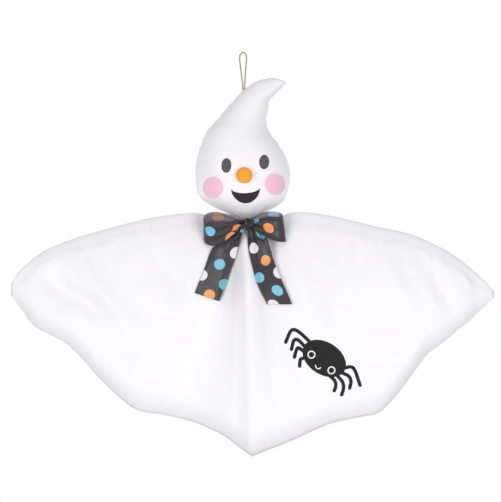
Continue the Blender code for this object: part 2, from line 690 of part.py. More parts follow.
def make_nose(collection, head, felt):
    """A stuffed dome, turned about its own axis and set against the face."""
    x, z = in_head(NOSE)
    radius = NOSE_WIDTH / 2
    profile = [(0, 0), (0.86, 0), (0.97, 0.14), (1, 0.32), (0.93, 0.56), (0.75, 0.79), (0.45, 0.95), (0, 1)]
    mesh = bpy.data.meshes.new("nose")
    vertices = [(across * radius, 0, out * NOSE_DEPTH) for across, out in reversed(profile)]
    mesh.from_pydata(vertices, [(i, i + 1) for i in range(len(vertices) - 1)], [])
    nose = add_object("nose", mesh, collection, felt)
    nose.location = (x, front_of(head, x, z) - GAP, z)
    nose.rotation_euler = (pi / 2, 0, 0)
    turn = nose.modifiers.new("Turned", "SCREW")
    turn.steps = turn.render_steps = 16
    turn.use_merge_vertices = True
    turn.merge_threshold = 0.0001
    turn.use_smooth_shade = True
    turn.use_normal_calculate = True
    return nose


def make_face(collection, head, palette):
    def at(share):
        return Vector(in_head(share))

    for name, share in (("left_eye", LEFT_EYE), ("right_eye", RIGHT_EYE)):
        outline = circle(at(share), EYE_WIDTH / 2, EYE_HEIGHT / 2, 16, -FACE_TILT)
        make_patch(name, [outline], [], head, PATCH_GAP, collection, palette["dark_felt"])
    for name, share in (("left_cheek", LEFT_CHEEK), ("right_cheek", RIGHT_CHEEK)):
        outline = circle(at(share), CHEEK_WIDTH / 2, CHEEK_HEIGHT / 2, 20)
        make_patch(name, [outline], [], head, PATCH_GAP, collection, palette["pink_felt"])
    make_patch("mouth", [mouth_outline()], [], head, PATCH_GAP, collection, palette["black_felt"])
    make_nose(collection, head, palette["orange_felt"])


def make_spider(collection, drape, palette):
    centre = Vector((NECK_X + SPIDER_AT[0], NECK_Z + SPIDER_AT[1]))

    def at(share):
        return centre + Vector(share) * SPIDER_LENGTH

    outlines = [circle(centre, SPIDER_LENGTH / 2, SPIDER_HEIGHT / 2, 26, SPIDER_TILT)]
    for leg in SPIDER_LEGS:
        line = curve_through([(*at(share), 0) for share in leg], 7)
        outlines.append(stroke([spot.to_2d() for spot in line], LEG_WIDTH))
    marks = [
        (circle(at(eye), RING_RADIUS, RING_RADIUS, 12), circle(at(eye), RING_HOLE, RING_HOLE, 12), 1)
        for eye in SPIDER_EYES
    ]
    smile = curve_through([(*at(share), 0) for share in SPIDER_SMILE], 5)
    marks.append((stroke([spot.to_2d() for spot in smile], SMILE_WIDTH), None, 1))
    inks = palette["black_felt"], palette["white_print"]
    make_patch("spider_patch", outlines, marks, drape, CLOTH_PATCH_GAP, collection, *inks)


def ribbon_place(path):
    """Maps flat ribbon points, along and across, onto a strip that follows a path in space.

    path: at even steps, the middle, the line from edge to edge in ribbon widths, and how deep the folds are.
    """
    middles, widths, creases = (list(enumerate(column)) for column in zip(*path))

    def place(along, across):
        at = along * (len(path) - 1)
        side = smooth(widths, at)
        ahead = smooth(middles, min(at + 0.05, len(path) - 1)) - smooth(middles, max(at - 0.05, 0))
        out = side.cross(ahead).normalized()
        fold = smooth(creases, at) * cos(3 * pi * across)
        return smooth(middles, at) + side * (across * RIBBON_WIDTH / 2) + out * fold

    return place


def make_strip(name, path, first_dot, slots, collection, materials):
    """A length of ribbon along a path, its dots cut in as faces of their own colour."""
    length = sum((b[0] - a[0]).length for a, b in zip(path, path[1:]))
    half = RIBBON_WIDTH / 2
    outline = [Vector((length * i / 8, -half)) for i in range(9)]
    outline += [Vector((length * i / 8, half)) for i in range(8, -1, -1)]
    marks = []
    for along, across, slot in dots_along(length - DOT_RADIUS, first_dot, slots):
        spots = circle((along, across), DOT_RADIUS, DOT_RADIUS, 10)
        spots = [Vector((min(max(s.x, 0), length), min(max(s.y, -half), half))) for s in spots]
        marks.append((spots, None, slot))
    place = ribbon_place(path)
    mesh = pattern_mesh(
        name, [outline], marks, RIBBON_PITCH, lambda spot: place(spot.x / length, spot.y / half)
    )
    strip = add_object(name, mesh, collection, *materials)
    thicken(strip, RIBBON)
    return strip


def neck_point(x, y, z):
    return Vector((NECK_X + x, y, NECK_Z + z))


def loop_path(side):
    """One loop of the bow: out of the knot in front, round the bend and back in behind."""
    path = []
    for (right, back, up), width, crease in BOW_LOOP:
        middle = neck_point(side * right * BOW_REACH, back * BOW_REACH, up * BOW_REACH)
        path.append((middle, Vector((BOW_LOOP_LEAN * side, 0, 1)).normalized() * width, crease))
    return path


def tail_path(stations, drape):
    """A tail of the bow, hanging just in front of the drape."""
    path = []
    for ((right, up), (across_x, across_z)), crease in zip(stations, TAIL_CREASES):
        spot = neck_point(right * RIBBON_WIDTH, 0, up * RIBBON_WIDTH)
        width = Vector((across_x, 0, across_z))
        edges = [spot + width * (share * RIBBON_WIDTH) for share in (-0.5, -0.25, 0, 0.25, 0.5)]
        fronts = [front_of(drape, edge.x, edge.z) for edge in edges]
        spot.y = min(*fronts, -BAND_RADIUS - TAIL_FRONT) - TAIL_LIFT
        path.append((spot, width, crease))
    return path


def dots_along(length, first, slots):
    """Two staggered rows of dots."""
    dots = []
    for i, slot in enumerate(slots):
        side = 1 if i % 2 else -1
        dots.append((first + i * DOT_SPACING, side * DOT_OFFSET, slot))
    return [dot for dot in dots if dot[0] < length]


def make_bow(collection, cutters, drape, materials):
    """Neck band, knot, loops and tails of one tied ribbon, joined as one solid."""
    middle = NECK_Z - COLLAR_HEIGHT / 2 - BAND_DROP
    turns = [2 * pi * i / BAND_SEGMENTS for i in range(BAND_SEGMENTS)]
    band_rings = [
        [Vector((NECK_X + BAND_RADIUS * cos(turn), BAND_RADIUS * sin(turn), middle + z)) for turn in turns]
        for z in (-BAND_HEIGHT / 2, BAND_HEIGHT / 2)
    ]
    faces = [
        (i, (i + 1) % BAND_SEGMENTS, BAND_SEGMENTS + (i + 1) % BAND_SEGMENTS, BAND_SEGMENTS + i)
        for i in range(BAND_SEGMENTS)
    ]
    band = mesh_from("ribbon_bow", band_rings[0] + band_rings[1], faces)
    bow = add_object("ribbon_bow", band, collection, *materials)
    thicken(bow, RIBBON)

    bpy.ops.mesh.primitive_cube_add(size=1)
    knot = bpy.context.active_object
    knot.name = "knot"
    front = -BAND_RADIUS - KNOT_DEPTH / 2 + GAP
    for vertex in knot.data.vertices:
        spot = Vector((vertex.co.x * KNOT_WIDTH, vertex.co.y * KNOT_DEPTH, vertex.co.z * KNOT_HEIGHT))
        vertex.co = spot * ROUNDING_LOSS + neck_point(KNOT_RIGHT, front, -KNOT_DROP)
    round_off = knot.modifiers.new("Round", "SUBSURF")
    round_off.levels = round_off.render_levels = 2
    knot.data.materials.append(materials[0])

    strips = (
        ("left_loop", loop_path(-1), LOOP_FIRST_DOT, (1, 2, 1, 3, 2, 1)),
        ("right_loop", loop_path(1), LOOP_FIRST_DOT, (3, 1, 2, 1, 4, 2)),
        ("left_tail", tail_path(LEFT_TAIL, drape), TAIL_FIRST_DOT, (4, 2, 3, 4, 1)),
        ("right_tail", tail_path(RIGHT_TAIL, drape), TAIL_FIRST_DOT, (1, 4, 2, 2, 4)),
    )
    pieces = [knot] + [make_strip(*strip, cutters, materials) for strip in strips]
    for piece in pieces:
        for holder in list(piece.users_collection):
            holder.objects.unlink(piece)
        cutters.objects.link(piece)
        piece.hide_render = True
        piece.display_type = "WIRE"
        join = bow.modifiers.new(piece.name, "BOOLEAN")
        join.operation = "UNION"
        join.object = piece
    return bow


def main():
    clear_scene()
    ghost = make_collection("hanging_ghost")
    cutters = make_collection("cutters")
    cutters.hide_render = True
    satin = make_material("white_satin", (0.93, 0.92, 0.95), 0.5)
    palette = {
        "dark_felt": make_material("dark_grey_felt", (0.10, 0.085, 0.09), 0.9),
        "black_felt": make_material("black_felt", (0.03, 0.027, 0.028), 0.9),
        "pink_felt": make_material("pink_felt", (0.94, 0.47, 0.62), 0.9),
        "orange_felt": make_material("orange_felt", (0.96, 0.38, 0.05), 0.8),
        "white_print": make_material("white_print", (0.9, 0.9, 0.9), 0.7),
    }
    thread = make_material("khaki_thread", (0.42, 0.36, 0.25), 0.6)
    steel = make_material("steel_wire", (0.6, 0.6, 0.62), 0.3, 1.0)
    ribbon = [
        make_material("black_ribbon", (0.045, 0.038, 0.045), 0.35),
        make_material("orange_dots", (0.9, 0.36, 0.08), 0.4),
        make_material("blue_dots", (0.11, 0.48, 0.66), 0.4),
        make_material("teal_dots", (0.05, 0.35, 0.42), 0.4),
        make_material("white_dots", (0.82, 0.82, 0.86), 0.4),
    ]
    head = make_head(ghost, cutters, satin)
    make_face(ghost, head, palette)
    make_loop(ghost, head, thread)
    drape = make_drape(ghost, satin)
    make_wire(ghost, steel)
    make_spider(ghost, drape, palette)
    make_bow(ghost, cutters, drape, ribbon)


main()
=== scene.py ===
"""Hanging fabric ghost: the looks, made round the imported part, in metres and in the part's frame.

The origin is inside the top of the hanging loop, +Z is up and the front faces -Y.
"""

import random
from bisect import bisect_right
from contextlib import contextmanager
from math import atan2, cos, exp, hypot, pi, sin, sqrt, tanh

import bmesh
import bpy
from mathutils import Matrix, Vector, noise
from mathutils.bvhtree import BVHTree
from mathutils.geometry import delaunay_2d_cdt
from mathutils.kdtree import KDTree


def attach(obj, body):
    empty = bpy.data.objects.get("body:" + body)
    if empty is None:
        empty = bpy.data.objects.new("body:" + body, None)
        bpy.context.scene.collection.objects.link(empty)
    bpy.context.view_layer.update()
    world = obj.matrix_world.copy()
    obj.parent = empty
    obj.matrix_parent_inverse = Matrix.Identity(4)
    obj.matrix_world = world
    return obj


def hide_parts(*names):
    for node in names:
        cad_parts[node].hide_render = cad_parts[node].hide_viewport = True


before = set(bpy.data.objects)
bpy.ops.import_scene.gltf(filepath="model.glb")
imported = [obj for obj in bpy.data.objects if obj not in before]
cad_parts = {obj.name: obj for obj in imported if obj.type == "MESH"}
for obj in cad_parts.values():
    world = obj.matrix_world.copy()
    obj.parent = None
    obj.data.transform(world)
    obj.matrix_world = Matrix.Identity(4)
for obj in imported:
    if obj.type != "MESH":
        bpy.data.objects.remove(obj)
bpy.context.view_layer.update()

MM = 0.001

# Sizes of the part. Some folds, the hem's curl, the loop's feet, the knot, the dots and the spider's face
# were tuned to the photo afterwards.
GAP = 0.3 * MM
CASING_EASE = 0.4 * MM  # more room round the wire
COLLAR_EASE = 0.5 * MM  # between the head's neck stub and the drape

# Hanging loop: one thread, both ends sewn into the head
THREAD = 1.3 * MM
LOOP_HEIGHT = 33.5 * MM
LOOP_LEAN = 0.7 * MM  # how far right of the hook the loop is sewn in
LOOP_WIDTH = 6.9 * MM
LOOP_FEET = 1.2 * MM  # between the two ends, centre to centre

# Head: a stuffed ball that sweeps up to a point
HEAD_WIDTH = 95 * MM
HEAD_HEIGHT = 141 * MM
HEAD_DEPTH = 76 * MM
LOOP_FOOT = (-0.0126, 0.942)  # where the loop is sewn in, in shares of the head's width and height
NECK_RADIUS = 8.5 * MM
NECK_LENGTH = 22 * MM
# Outline of the head from the neck up: left and right edge in shares of width and height, share of depth
HEAD_STATIONS = (
    ((-0.095, 0.012), (0.095, 0.010), 0.25),
    ((-0.242, 0.062), (0.221, 0.053), 0.60),
    ((-0.411, 0.123), (0.379, 0.113), 0.86),
    ((-0.495, 0.187), (0.445, 0.190), 0.97),
    ((-0.524, 0.300), (0.476, 0.300), 1.00),
    ((-0.513, 0.421), (0.451, 0.413), 0.98),
    ((-0.469, 0.520), (0.368, 0.520), 0.90),
    ((-0.400, 0.626), (0.256, 0.623), 0.76),
    ((-0.300, 0.702), (0.228, 0.694), 0.64),
    ((-0.200, 0.782), (0.244, 0.775), 0.54),
    ((-0.107, 0.851), (0.263, 0.846), 0.45),
    ((-0.021, 0.915), (0.318, 0.885), 0.36),
    ((0.089, 0.967), (0.368, 0.920), 0.27),
    ((0.205, 0.994), (0.403, 0.943), 0.19),
    ((0.316, 1.000), (0.427, 0.960), 0.12),
    ((0.425, 0.978), (0.441, 0.966), 0.03),
)

# Face: places in shares of the head's width and height, from the neck's centre
EYE_WIDTH = 9.9 * MM
EYE_HEIGHT = 14.6 * MM
LEFT_EYE = (-0.193, 0.374)
RIGHT_EYE = (0.200, 0.399)
CHEEK_WIDTH = 20.5 * MM
CHEEK_HEIGHT = 21 * MM
LEFT_CHEEK = (-0.331, 0.222)
RIGHT_CHEEK = (0.312, 0.246)
NOSE_WIDTH = 16 * MM
NOSE_DEPTH = 8.5 * MM
NOSE = (-0.006, 0.305)
# The nose from under its rim to its top: reach in shares of half its width, height in shares of its depth
NOSE_PROFILE = (
    (0.72, -0.22), (0.90, -0.10), (0.985, 0.10), (1.0, 0.30), (0.93, 0.56), (0.75, 0.79), (0.45, 0.95),
    (0.0, 1.0),
)
MOUTH_WIDTH = 28.8 * MM
MOUTH_TOP_SAG = 5 * MM
MOUTH_BOTTOM_SAG = 15 * MM
MOUTH = (0.006, 0.216)  # midway between the corners
MOUTH_POWER = 1.1  # 1 makes both edges half ellipses, more makes the corners more pointed
FACE_TILT = 2.6 * pi / 180

# Drape: one sheet folded over the arm wire, measured from the neck's centre
WIRE_RADIUS = 1 * MM
CLOTH = 0.8 * MM
LEFT_REACH = 233.8 * MM
RIGHT_REACH = 248.6 * MM
SHOULDER_DROP = 62 * MM
DRAPE_LENGTH = 234.3 * MM
CASING = 11 * MM  # fold to stitch line
CASING_SWELL = WIRE_RADIUS + GAP + CLOTH / 2 + CASING_EASE  # half of its thickness round the wire
CASING_LEAN = 5 * MM  # how far forward the billowing front pulls the stitch line
CASING_LEAN_FADE = 45 * MM
LEAN_START = 30 * MM  # from the neck and from the tips
STITCH_GAP = 0.6 * MM
FRONT_SPREAD = 44 * MM
BACK_SPREAD = 34 * MM
HALF_SPREAD = 70 * MM  # below the casing, where the cloth has half of its spread
HEM_POINT = 7 * MM  # how far right of the neck the hem's point hangs
HEM_POINT_REACH = 60 * MM  # how far to either side the columns bend towards it
HEM_FAN = 22 * MM  # how much wider the pleats are at the hem than at the neck
HEM_FAN_REACH = 12 * MM
HEM_CURL = 9 * MM
HEM_CURL_HEIGHT = 24 * MM
HEM_CURL_START = 8 * MM  # how full the cloth must be to curl in at the hem
COLLAR_HEIGHT = 10.5 * MM
COLLAR_FADE = 25 * MM  # below the neck stub, where the cloth leaves the neck's round shape
FLARE_START = 4 * MM
FLARE_FADE = 70 * MM
FULL_CASING = 40 * MM  # columns shorter than this have a narrower casing
FULL_FOLD = 90 * MM  # and than this, shallower folds
FOLD_START = 50 * MM  # below the casing, where a fold has its full height
FOLD_ROUND = 2 * MM  # how rounded a fold's crest is
FOLD_FADE = 26 * MM  # beyond a fold's ends
TIP_LENGTH = 14 * MM  # of a wing, along which its two layers close
# Shoulder line: share of the reach, drop in shares of SHOULDER_DROP
LEFT_SHOULDER = (
    (0.041, 0.200), (0.086, 0.130), (0.137, 0.010), (0.190, -0.090), (0.287, -0.080), (0.423, 0.000),
    (0.560, 0.129), (0.697, 0.274), (0.834, 0.468), (0.902, 0.629), (0.971, 0.871), (1.000, 1.040),
)
RIGHT_SHOULDER = (
    (0.041, 0.200), (0.080, 0.130), (0.129, 0.010), (0.181, -0.100), (0.278, -0.097), (0.406, 0.000),
    (0.535, 0.129), (0.664, 0.242), (0.792, 0.468), (0.857, 0.629), (0.921, 0.839), (0.985, 1.081),
    (1.000, 1.165),
)
# Hem line: share of the reach, drop in shares of DRAPE_LENGTH, from the hem's point outwards
LEFT_HEM = (
    (-0.030, 1.000), (0.013, 0.972), (0.081, 0.921), (0.150, 0.887), (0.218, 0.861), (0.355, 0.827),
    (0.423, 0.819), (0.492, 0.789), (0.629, 0.665), (0.697, 0.588), (0.766, 0.525), (0.834, 0.490),
    (0.902, 0.452), (0.971, 0.367), (1.000, 0.325),
)
RIGHT_HEM = (
    (0.028, 1.000), (0.084, 0.977), (0.181, 0.938), (0.342, 0.866), (0.471, 0.836), (0.535, 0.819),
    (0.599, 0.755), (0.664, 0.665), (0.728, 0.576), (0.792, 0.525), (0.921, 0.414), (0.985, 0.350),
    (1.000, 0.335),
)
# Folds in hundredths of DRAPE_LENGTH, right of the neck's centre and down from it: start, end, height, and
# how far the fold reaches to its left and to its right, at its start and at its end
FRONT_FOLDS = (
    ((0.8, 9.0), (3.0, 99.0), 3.6, (4.5, 24.0), (9.0, 38.0)),
    ((0.8, 9.0), (3.0, 99.0), 2.0, (3.0, 5.6), (6.0, 30.0)),
    ((-5.1, 10.7), (-24.3, 81.5), -3.4, (8.0, 34.0), (4.6, 18.0)),
    ((-12.8, 17.0), (-47.8, 70.4), 1.0, (6.0, 14.0), (6.0, 14.0)),
    ((-41.0, 10.2), (-33.0, 22.3), -1.1, (4.3, 5.1), (4.3, 5.1)),
    ((-73.0, 12.8), (-51.0, 45.0), 1.6, (6.0, 8.0), (5.0, 8.5)),
    ((-85.0, 15.0), (-80.5, 27.0), -3.0, (4.5, 5.5), (5.0, 6.5)),
    ((-80.0, 27.5), (-67.0, 35.5), -2.3, (5.0, 5.5), (5.0, 6.0)),
    ((17.1, 10.7), (34.1, 51.2), 1.0, (5.1, 7.7), (6.0, 11.0)),
    ((57.0, 12.0), (65.0, 27.0), 1.2, (6.0, 7.7), (5.0, 5.1)),
    ((75.5, 13.7), (84.0, 30.0), -2.3, (5.1, 5.1), (4.5, 4.8)),
    ((87.0, 19.0), (92.5, 31.0), 1.4, (4.3, 4.3), (5.0, 5.0)),
)
BACK_FOLDS = (
    ((-1.3, 10.7), (-3.4, 96.0), -3.0, (3.4, 9.0), (6.0, 20.0)),
    ((5.1, 10.7), (24.8, 81.0), 2.8, (6.0, 22.0), (5.0, 16.0)),
    ((-7.7, 12.8), (-27.3, 79.0), 2.1, (5.0, 15.0), (4.0, 11.0)),
    ((-17.0, 12.8), (-55.5, 59.8), -1.7, (6.0, 10.0), (6.0, 10.0)),
    ((17.0, 12.8), (51.2, 61.9), -1.5, (6.0, 10.0), (6.0, 10.0)),
    ((-64.0, 15.0), (-56.3, 51.2), 1.5, (5.1, 8.0), (5.1, 8.0)),
    ((64.0, 15.0), (59.8, 47.0), 1.3, (5.1, 8.0), (6.0, 8.0)),
    ((-87.5, 20.5), (-85.4, 39.3), 1.3, (4.3, 5.0), (4.3, 5.0)),
    ((79.0, 17.0), (90.5, 33.3), -1.5, (4.3, 5.0), (4.3, 5.0)),
)

# Ribbon bow
RIBBON_WIDTH = 25.4 * MM
BAND_HEIGHT = 8 * MM
BAND_DROP = 6.5 * MM  # below the neck's centre
BAND_RADIUS = 11 * MM
KNOT_WIDTH = 13.5 * MM
KNOT_HEIGHT = 12.5 * MM
KNOT_DEPTH = 11 * MM
KNOT_RIGHT = 3 * MM  # of the neck's centre
KNOT_DROP = 4.6 * MM  # below it
DOT_RADIUS = 5.5 * MM

# Spider patch, measured from the centre of its body
SPIDER_AT = (78.5 * MM, -138 * MM)  # from the neck's centre
SPIDER_LENGTH = 47 * MM
SPIDER_HEIGHT = 32 * MM
SPIDER_TILT = -33 * pi / 180
LEG_WIDTH = 3.5 * MM
RING_RADIUS = 4.0 * MM
RING_HOLE = 2.8 * MM
SMILE_WIDTH = 1.05 * MM
# Legs: from hip over the knee to the foot, in shares of SPIDER_LENGTH, right and up
SPIDER_LEGS = (
    ((-0.323, 0.370), (-0.550, 0.568), (-0.695, 0.585), (-0.813, 0.343)),
    ((-0.400, 0.240), (-0.549, 0.385), (-0.640, 0.375), (-0.690, 0.194)),
    ((-0.430, 0.150), (-0.545, 0.222), (-0.591, 0.165), (-0.628, 0.030)),
    ((-0.430, 0.010), (-0.500, -0.020), (-0.515, -0.090), (-0.520, -0.160)),
    ((0.430, -0.200), (0.564, -0.180), (0.649, -0.260), (0.755, -0.566)),
    ((0.390, -0.310), (0.515, -0.374), (0.562, -0.481), (0.536, -0.623)),
    ((0.270, -0.360), (0.380, -0.490), (0.405, -0.623), (0.366, -0.764)),
    ((0.120, -0.370), (0.225, -0.475), (0.240, -0.587), (0.209, -0.679)),
)
SPIDER_EYES = ((-0.270, 0.080), (0.150, -0.250))
SPIDER_SMILE = ((-0.187, -0.143), (-0.165, -0.200), (-0.120, -0.217), (-0.075, -0.196))

NECK_X = LOOP_LEAN - LOOP_FOOT[0] * HEAD_WIDTH
NECK_Z = -LOOP_HEIGHT - LOOP_FOOT[1] * HEAD_HEIGHT
COLLAR_RADIUS = NECK_RADIUS + GAP + CLOTH / 2 + COLLAR_EASE

# Sizes of the detail that only the looks have
SATIN = 0.5 * MM  # the cloth as it is cut
SATIN_RIBBON = 0.4 * MM
HEM_ROLL = 0.42 * MM  # radius of the narrow rolled hem
STITCH_RADII = (0.1 * MM, 0.2 * MM, 0.22 * MM, 0.2 * MM, 0.1 * MM)
STITCH_STEP = 0.5 * MM  # between a stitch's points
STITCH_FREE = 14 * MM  # from the neck, where no stitches are seen
FELT_LIFT = 0.35 * MM  # how far felt stands off the cloth that it is glued to
FELT_CLEAR = 0.08 * MM  # between that cloth and the felt's edge
FELT_BACK = 0.03 * MM  # and its back
FELT_EDGE = 0.9 * MM  # how far in from its edge felt is worn round
LOOP_STEP = 0.25 * MM  # between the thread's points
PLY_RADIUS = 0.38 * MM
PLY_WINDING = 0.36 * MM  # from the thread's middle to a ply's
PLY_TWIST = 2.9 * MM  # the length of thread in which a ply goes round once
NECK_PUCKERS = 15
PUCKER_DEPTH = 0.32 * MM
PUCKER_FADE = 13 * MM  # above and below the neck
SEAM_DEPTH = 0.5 * MM
SEAM_WIDTH = 1.1 * MM
PULL_DEPTH = 0.3 * MM  # of the ripples in the cloth beside a seam
PULL_SPACING = 8.5 * MM
PULL_REACH = 6 * MM
COLLAR_FRONT = -14 * MM  # stands in for the cloth where a tail has none behind it
TAIL_LIFTS = (4.5, 3.5, 2.6)  # from the cloth to a tail's first, second and other points, in mm
TAIL_CLEAR = 1.1 * MM  # from the cloth to a tail that is fully settled on it
TAIL_SETTLED = 0.75  # how far down to there a tail sinks, away from the knot
RIBBON_CLEAR = 0.8 * MM  # from what lies behind to the ribbon's middle, at least
RIBBON_PITCH = 1.7 * MM  # between the ribbon's points
RIBBON_EDGE_PITCH = 1.6 * MM


# Geometry helpers


def smooth(points, at):
    """The value at `at` on a smooth curve through (key, value) points."""
    keys = [key for key, value in points]
    low = min(max(bisect_right(keys, at) - 1, 0), len(points) - 2)
    step = keys[low + 1] - keys[low]
    t = min(max((at - keys[low]) / step, 0), 1)

    def slope(i):
        before, after = max(i - 1, 0), min(i + 1, len(points) - 1)
        return (points[after][1] - points[before][1]) * (1 / (keys[after] - keys[before]))

    start, end = points[low][1], points[low + 1][1]
    return (
        start * (2 * t**3 - 3 * t**2 + 1)
        + slope(low) * (step * (t**3 - 2 * t**2 + t))
        + end * (3 * t**2 - 2 * t**3)
        + slope(low + 1) * (step * (t**3 - t**2))
    )


def curve_through(points, count):
    """`count` points, evenly spaced in parameter, on a smooth curve through the given ones."""
    keyed = [(i, Vector(point)) for i, point in enumerate(points)]
    return [smooth(keyed, i * (len(points) - 1) / (count - 1)) for i in range(count)]


def even_points(points, step):
    """The same line with a point every `step`."""
    spaced, left = [points[0].copy()], step
    for start, end in zip(points, points[1:]):
        length = (end - start).length
        done = 0.0
        while length - done >= left:
            done += left
            spaced.append(start.lerp(end, done / length))
            left = step
        left -= length - done
    return spaced


def direction(points, i):
    """Which way a line runs at its i-th point."""
    return (points[min(i + 1, len(points) - 1)] - points[max(i - 1, 0)]).normalized()


def make_piece(name, vertices, faces, materials, slots=None):
    """A smooth-shaded mesh object."""
    mesh = bpy.data.meshes.new(name)
    mesh.from_pydata(vertices, [], faces)
    for material in materials:
        mesh.materials.append(material)
    if slots:
        mesh.polygons.foreach_set("material_index", slots)
    mesh.shade_smooth()
    mesh.update()
    piece = bpy.data.objects.new(name, mesh)
    bpy.context.scene.collection.objects.link(piece)
    return piece


def join(parts):
    """Vertices and faces of several parts as one."""
    vertices, faces = [], []
    for more_vertices, more_faces in parts:
        first = len(vertices)
        vertices += more_vertices
        faces += [tuple(first + i for i in face) for face in more_faces]
    return vertices, faces


def grid_faces(rows, columns, closed=False):
    """Quads of a grid that was listed row by row. A closed one joins its last column to its first."""
    faces = []
    for row in range(rows - 1):
        for column in range(columns if closed else columns - 1):
            here, beside = row * columns + column, row * columns + (column + 1) % columns
            faces.append((here, beside, beside + columns, here + columns))
    return faces


def tube(points, radii, sides):
    """A closed round tube through points, with a radius at each."""
    vertices = []
    for i, point in enumerate(points):
        ahead = direction(points, i)
        across = ahead.cross(Vector((0, 1, 0))).normalized()
        outward = across.cross(ahead)
        for j in range(sides):
            turn = 2 * pi * j / sides
            vertices.append(point + (across * cos(turn) + outward * sin(turn)) * radii[i])
    faces = grid_faces(len(points), sides, True)
    last = (len(points) - 1) * sides
    faces += [tuple(reversed(range(sides))), tuple(range(last, last + sides))]
    return vertices, faces


@contextmanager
def mesh_of(piece):
    """The piece's mesh, open to bmesh's operators."""
    mesh = bmesh.new()
    mesh.from_mesh(piece.data)
    yield mesh
    mesh.to_mesh(piece.data)
    mesh.free()


def thicken(piece, thickness):
    """Gives a thin sheet its thickness, half to either side, and returns the modifier."""
    solidify = piece.modifiers.new("Thickness", "SOLIDIFY")
    solidify.thickness = thickness
    solidify.offset = 0
    return solidify


def surface_of(piece):
    """A search tree of the piece's final surface."""
    return BVHTree.FromObject(piece, bpy.context.evaluated_depsgraph_get())


def front_of(surface, x, z):
    """Place and outward direction of the foremost surface at x, z, or None."""
    place, normal, _, _ = surface.ray_cast(Vector((x, -1, z)), Vector((0, 1, 0)))
    if place is None:
        return None
    return place, normal if normal.y < 0 else -normal


def dress(piece, node):
    """The piece stands for a node of the part, whose own piece is hidden."""
    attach(piece, "root")
    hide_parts(node)


def trim(piece):
    """The piece is a detail of another one, such as its hem."""
    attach(piece, "root")


# Materials


def linear(code):
    """Linear colour of an sRGB hex code."""
    values = [int(code[i : i + 2], 16) / 255 for i in (1, 3, 5)]
    return tuple(v / 12.92 if v <= 0.04045 else ((v + 0.055) / 1.055) ** 2.4 for v in values) + (1.0,)


def add_node(tree, kind, values=None, links=None, **settings):
    """Adds a node with its settings, the values of its inputs and the outputs that feed them."""
    node = tree.nodes.new(kind)
    for field, value in settings.items():
        setattr(node, field, value)
    for socket, value in (values or {}).items():
        node.inputs[socket].default_value = value
    for socket, source in (links or {}).items():
        tree.links.new(source, node.inputs[socket])
    return node


def colour_between(tree, shader, first, second, share):
    """Colours the shader between two colours by a share, and returns that colour."""
    mix = add_node(tree, "ShaderNodeMix", {6: first, 7: second}, {0: share}, data_type="RGBA")
    tree.links.new(mix.outputs[2], shader.inputs["Base Color"])
    return mix.outputs[2]


def new_material(name, **values):
    """A material with its shader's own values set; spaces in their names are written as _."""
    material = bpy.data.materials.new(name)
    material.use_nodes = True
    tree = material.node_tree
    shader = tree.nodes["Principled BSDF"]
    for socket, value in values.items():
        shader.inputs[socket.replace("_", " ")].default_value = value
    place = add_node(tree, "ShaderNodeTexCoord").outputs["Object"]  # in metres
    return material, tree, shader, place


def white_satin():
    """Polyester satin, woven in long floats: a broad soft sheen, with single threads only close up."""
    material, tree, shader, place = new_material(
        "white_polyester_satin", Roughness=0.55, IOR=1.5, Sheen_Weight=0.4, Sheen_Roughness=0.45
    )
    parts = add_node(tree, "ShaderNodeSeparateXYZ", links={"Vector": place})
    flat = add_node(
        tree, "ShaderNodeCombineXYZ", links={"X": parts.outputs["Z"], "Y": parts.outputs["X"]}
    )
    # Floats 2.6 mm long and 0.65 mm apart: coarser than real ones, which are too fine to show
    floats = add_node(
        tree, "ShaderNodeTexBrick",
        {"Scale": 1 / MM, "Brick Width": 2.6, "Row Height": 0.65, "Mortar Size": 0.09, "Mortar Smooth": 1.0},
        {"Vector": flat.outputs["Vector"]}, offset=0.4, offset_frequency=2,
    )
    # Soft crumples left from folding, and wide patches where the cloth looks a little brighter or duller
    crumple = add_node(tree, "ShaderNodeTexNoise", {"Scale": 110, "Detail": 3}, {"Vector": place})
    cloudy = add_node(tree, "ShaderNodeTexNoise", {"Scale": 22, "Detail": 2}, {"Vector": place})
    single = colour_between(tree, shader, linear("#F9F8FA"), linear("#F3F2F5"), cloudy.outputs["Fac"])
    # Painted shade: where the cloth is turned over on itself, in the casing and at the hem, its colour is
    # painted greyer, for the shade where less light comes through it
    painted_shade_mask = add_node(tree, "ShaderNodeAttribute", attribute_name="painted_shade")
    painted_shade = add_node(
        tree, "ShaderNodeMix", {7: linear("#EEEDEF")}, {0: painted_shade_mask.outputs["Fac"], 6: single}, data_type="RGBA"
    )
    tree.links.new(painted_shade.outputs[2], shader.inputs["Base Color"])
    weave = add_node(
        tree, "ShaderNodeBump", {"Strength": 0.35, "Distance": 0.05 * MM},
        {"Height": floats.outputs["Fac"]}, invert=True,
    )
    creased = add_node(
        tree, "ShaderNodeBump", {"Strength": 0.5, "Distance": 0.35 * MM},
        {"Height": crumple.outputs["Fac"], "Normal": weave.outputs["Normal"]},
    )
    tree.links.new(creased.outputs["Normal"], shader.inputs["Normal"])
    return material


def felt(name, dark, light):
    """Pressed felt: matt, with a short nap that lightens at its edges and a mottle of fibres."""
    material, tree, shader, place = new_material(
        name, Roughness=0.95, IOR=1.5, Sheen_Weight=0.25, Sheen_Roughness=0.5
    )
    # Fibre clumps, coarser than real ones so that they show
    fibres = add_node(tree, "ShaderNodeTexNoise", {"Scale": 1900, "Detail": 4}, {"Vector": place})
    colour_between(tree, shader, linear(dark), linear(light), fibres.outputs["Fac"])
    nap = add_node(
        tree, "ShaderNodeBump", {"Strength": 0.6, "Distance": 0.12 * MM}, {"Height": fibres.outputs["Fac"]}
    )
    tree.links.new(nap.outputs["Normal"], shader.inputs["Normal"])
    return material


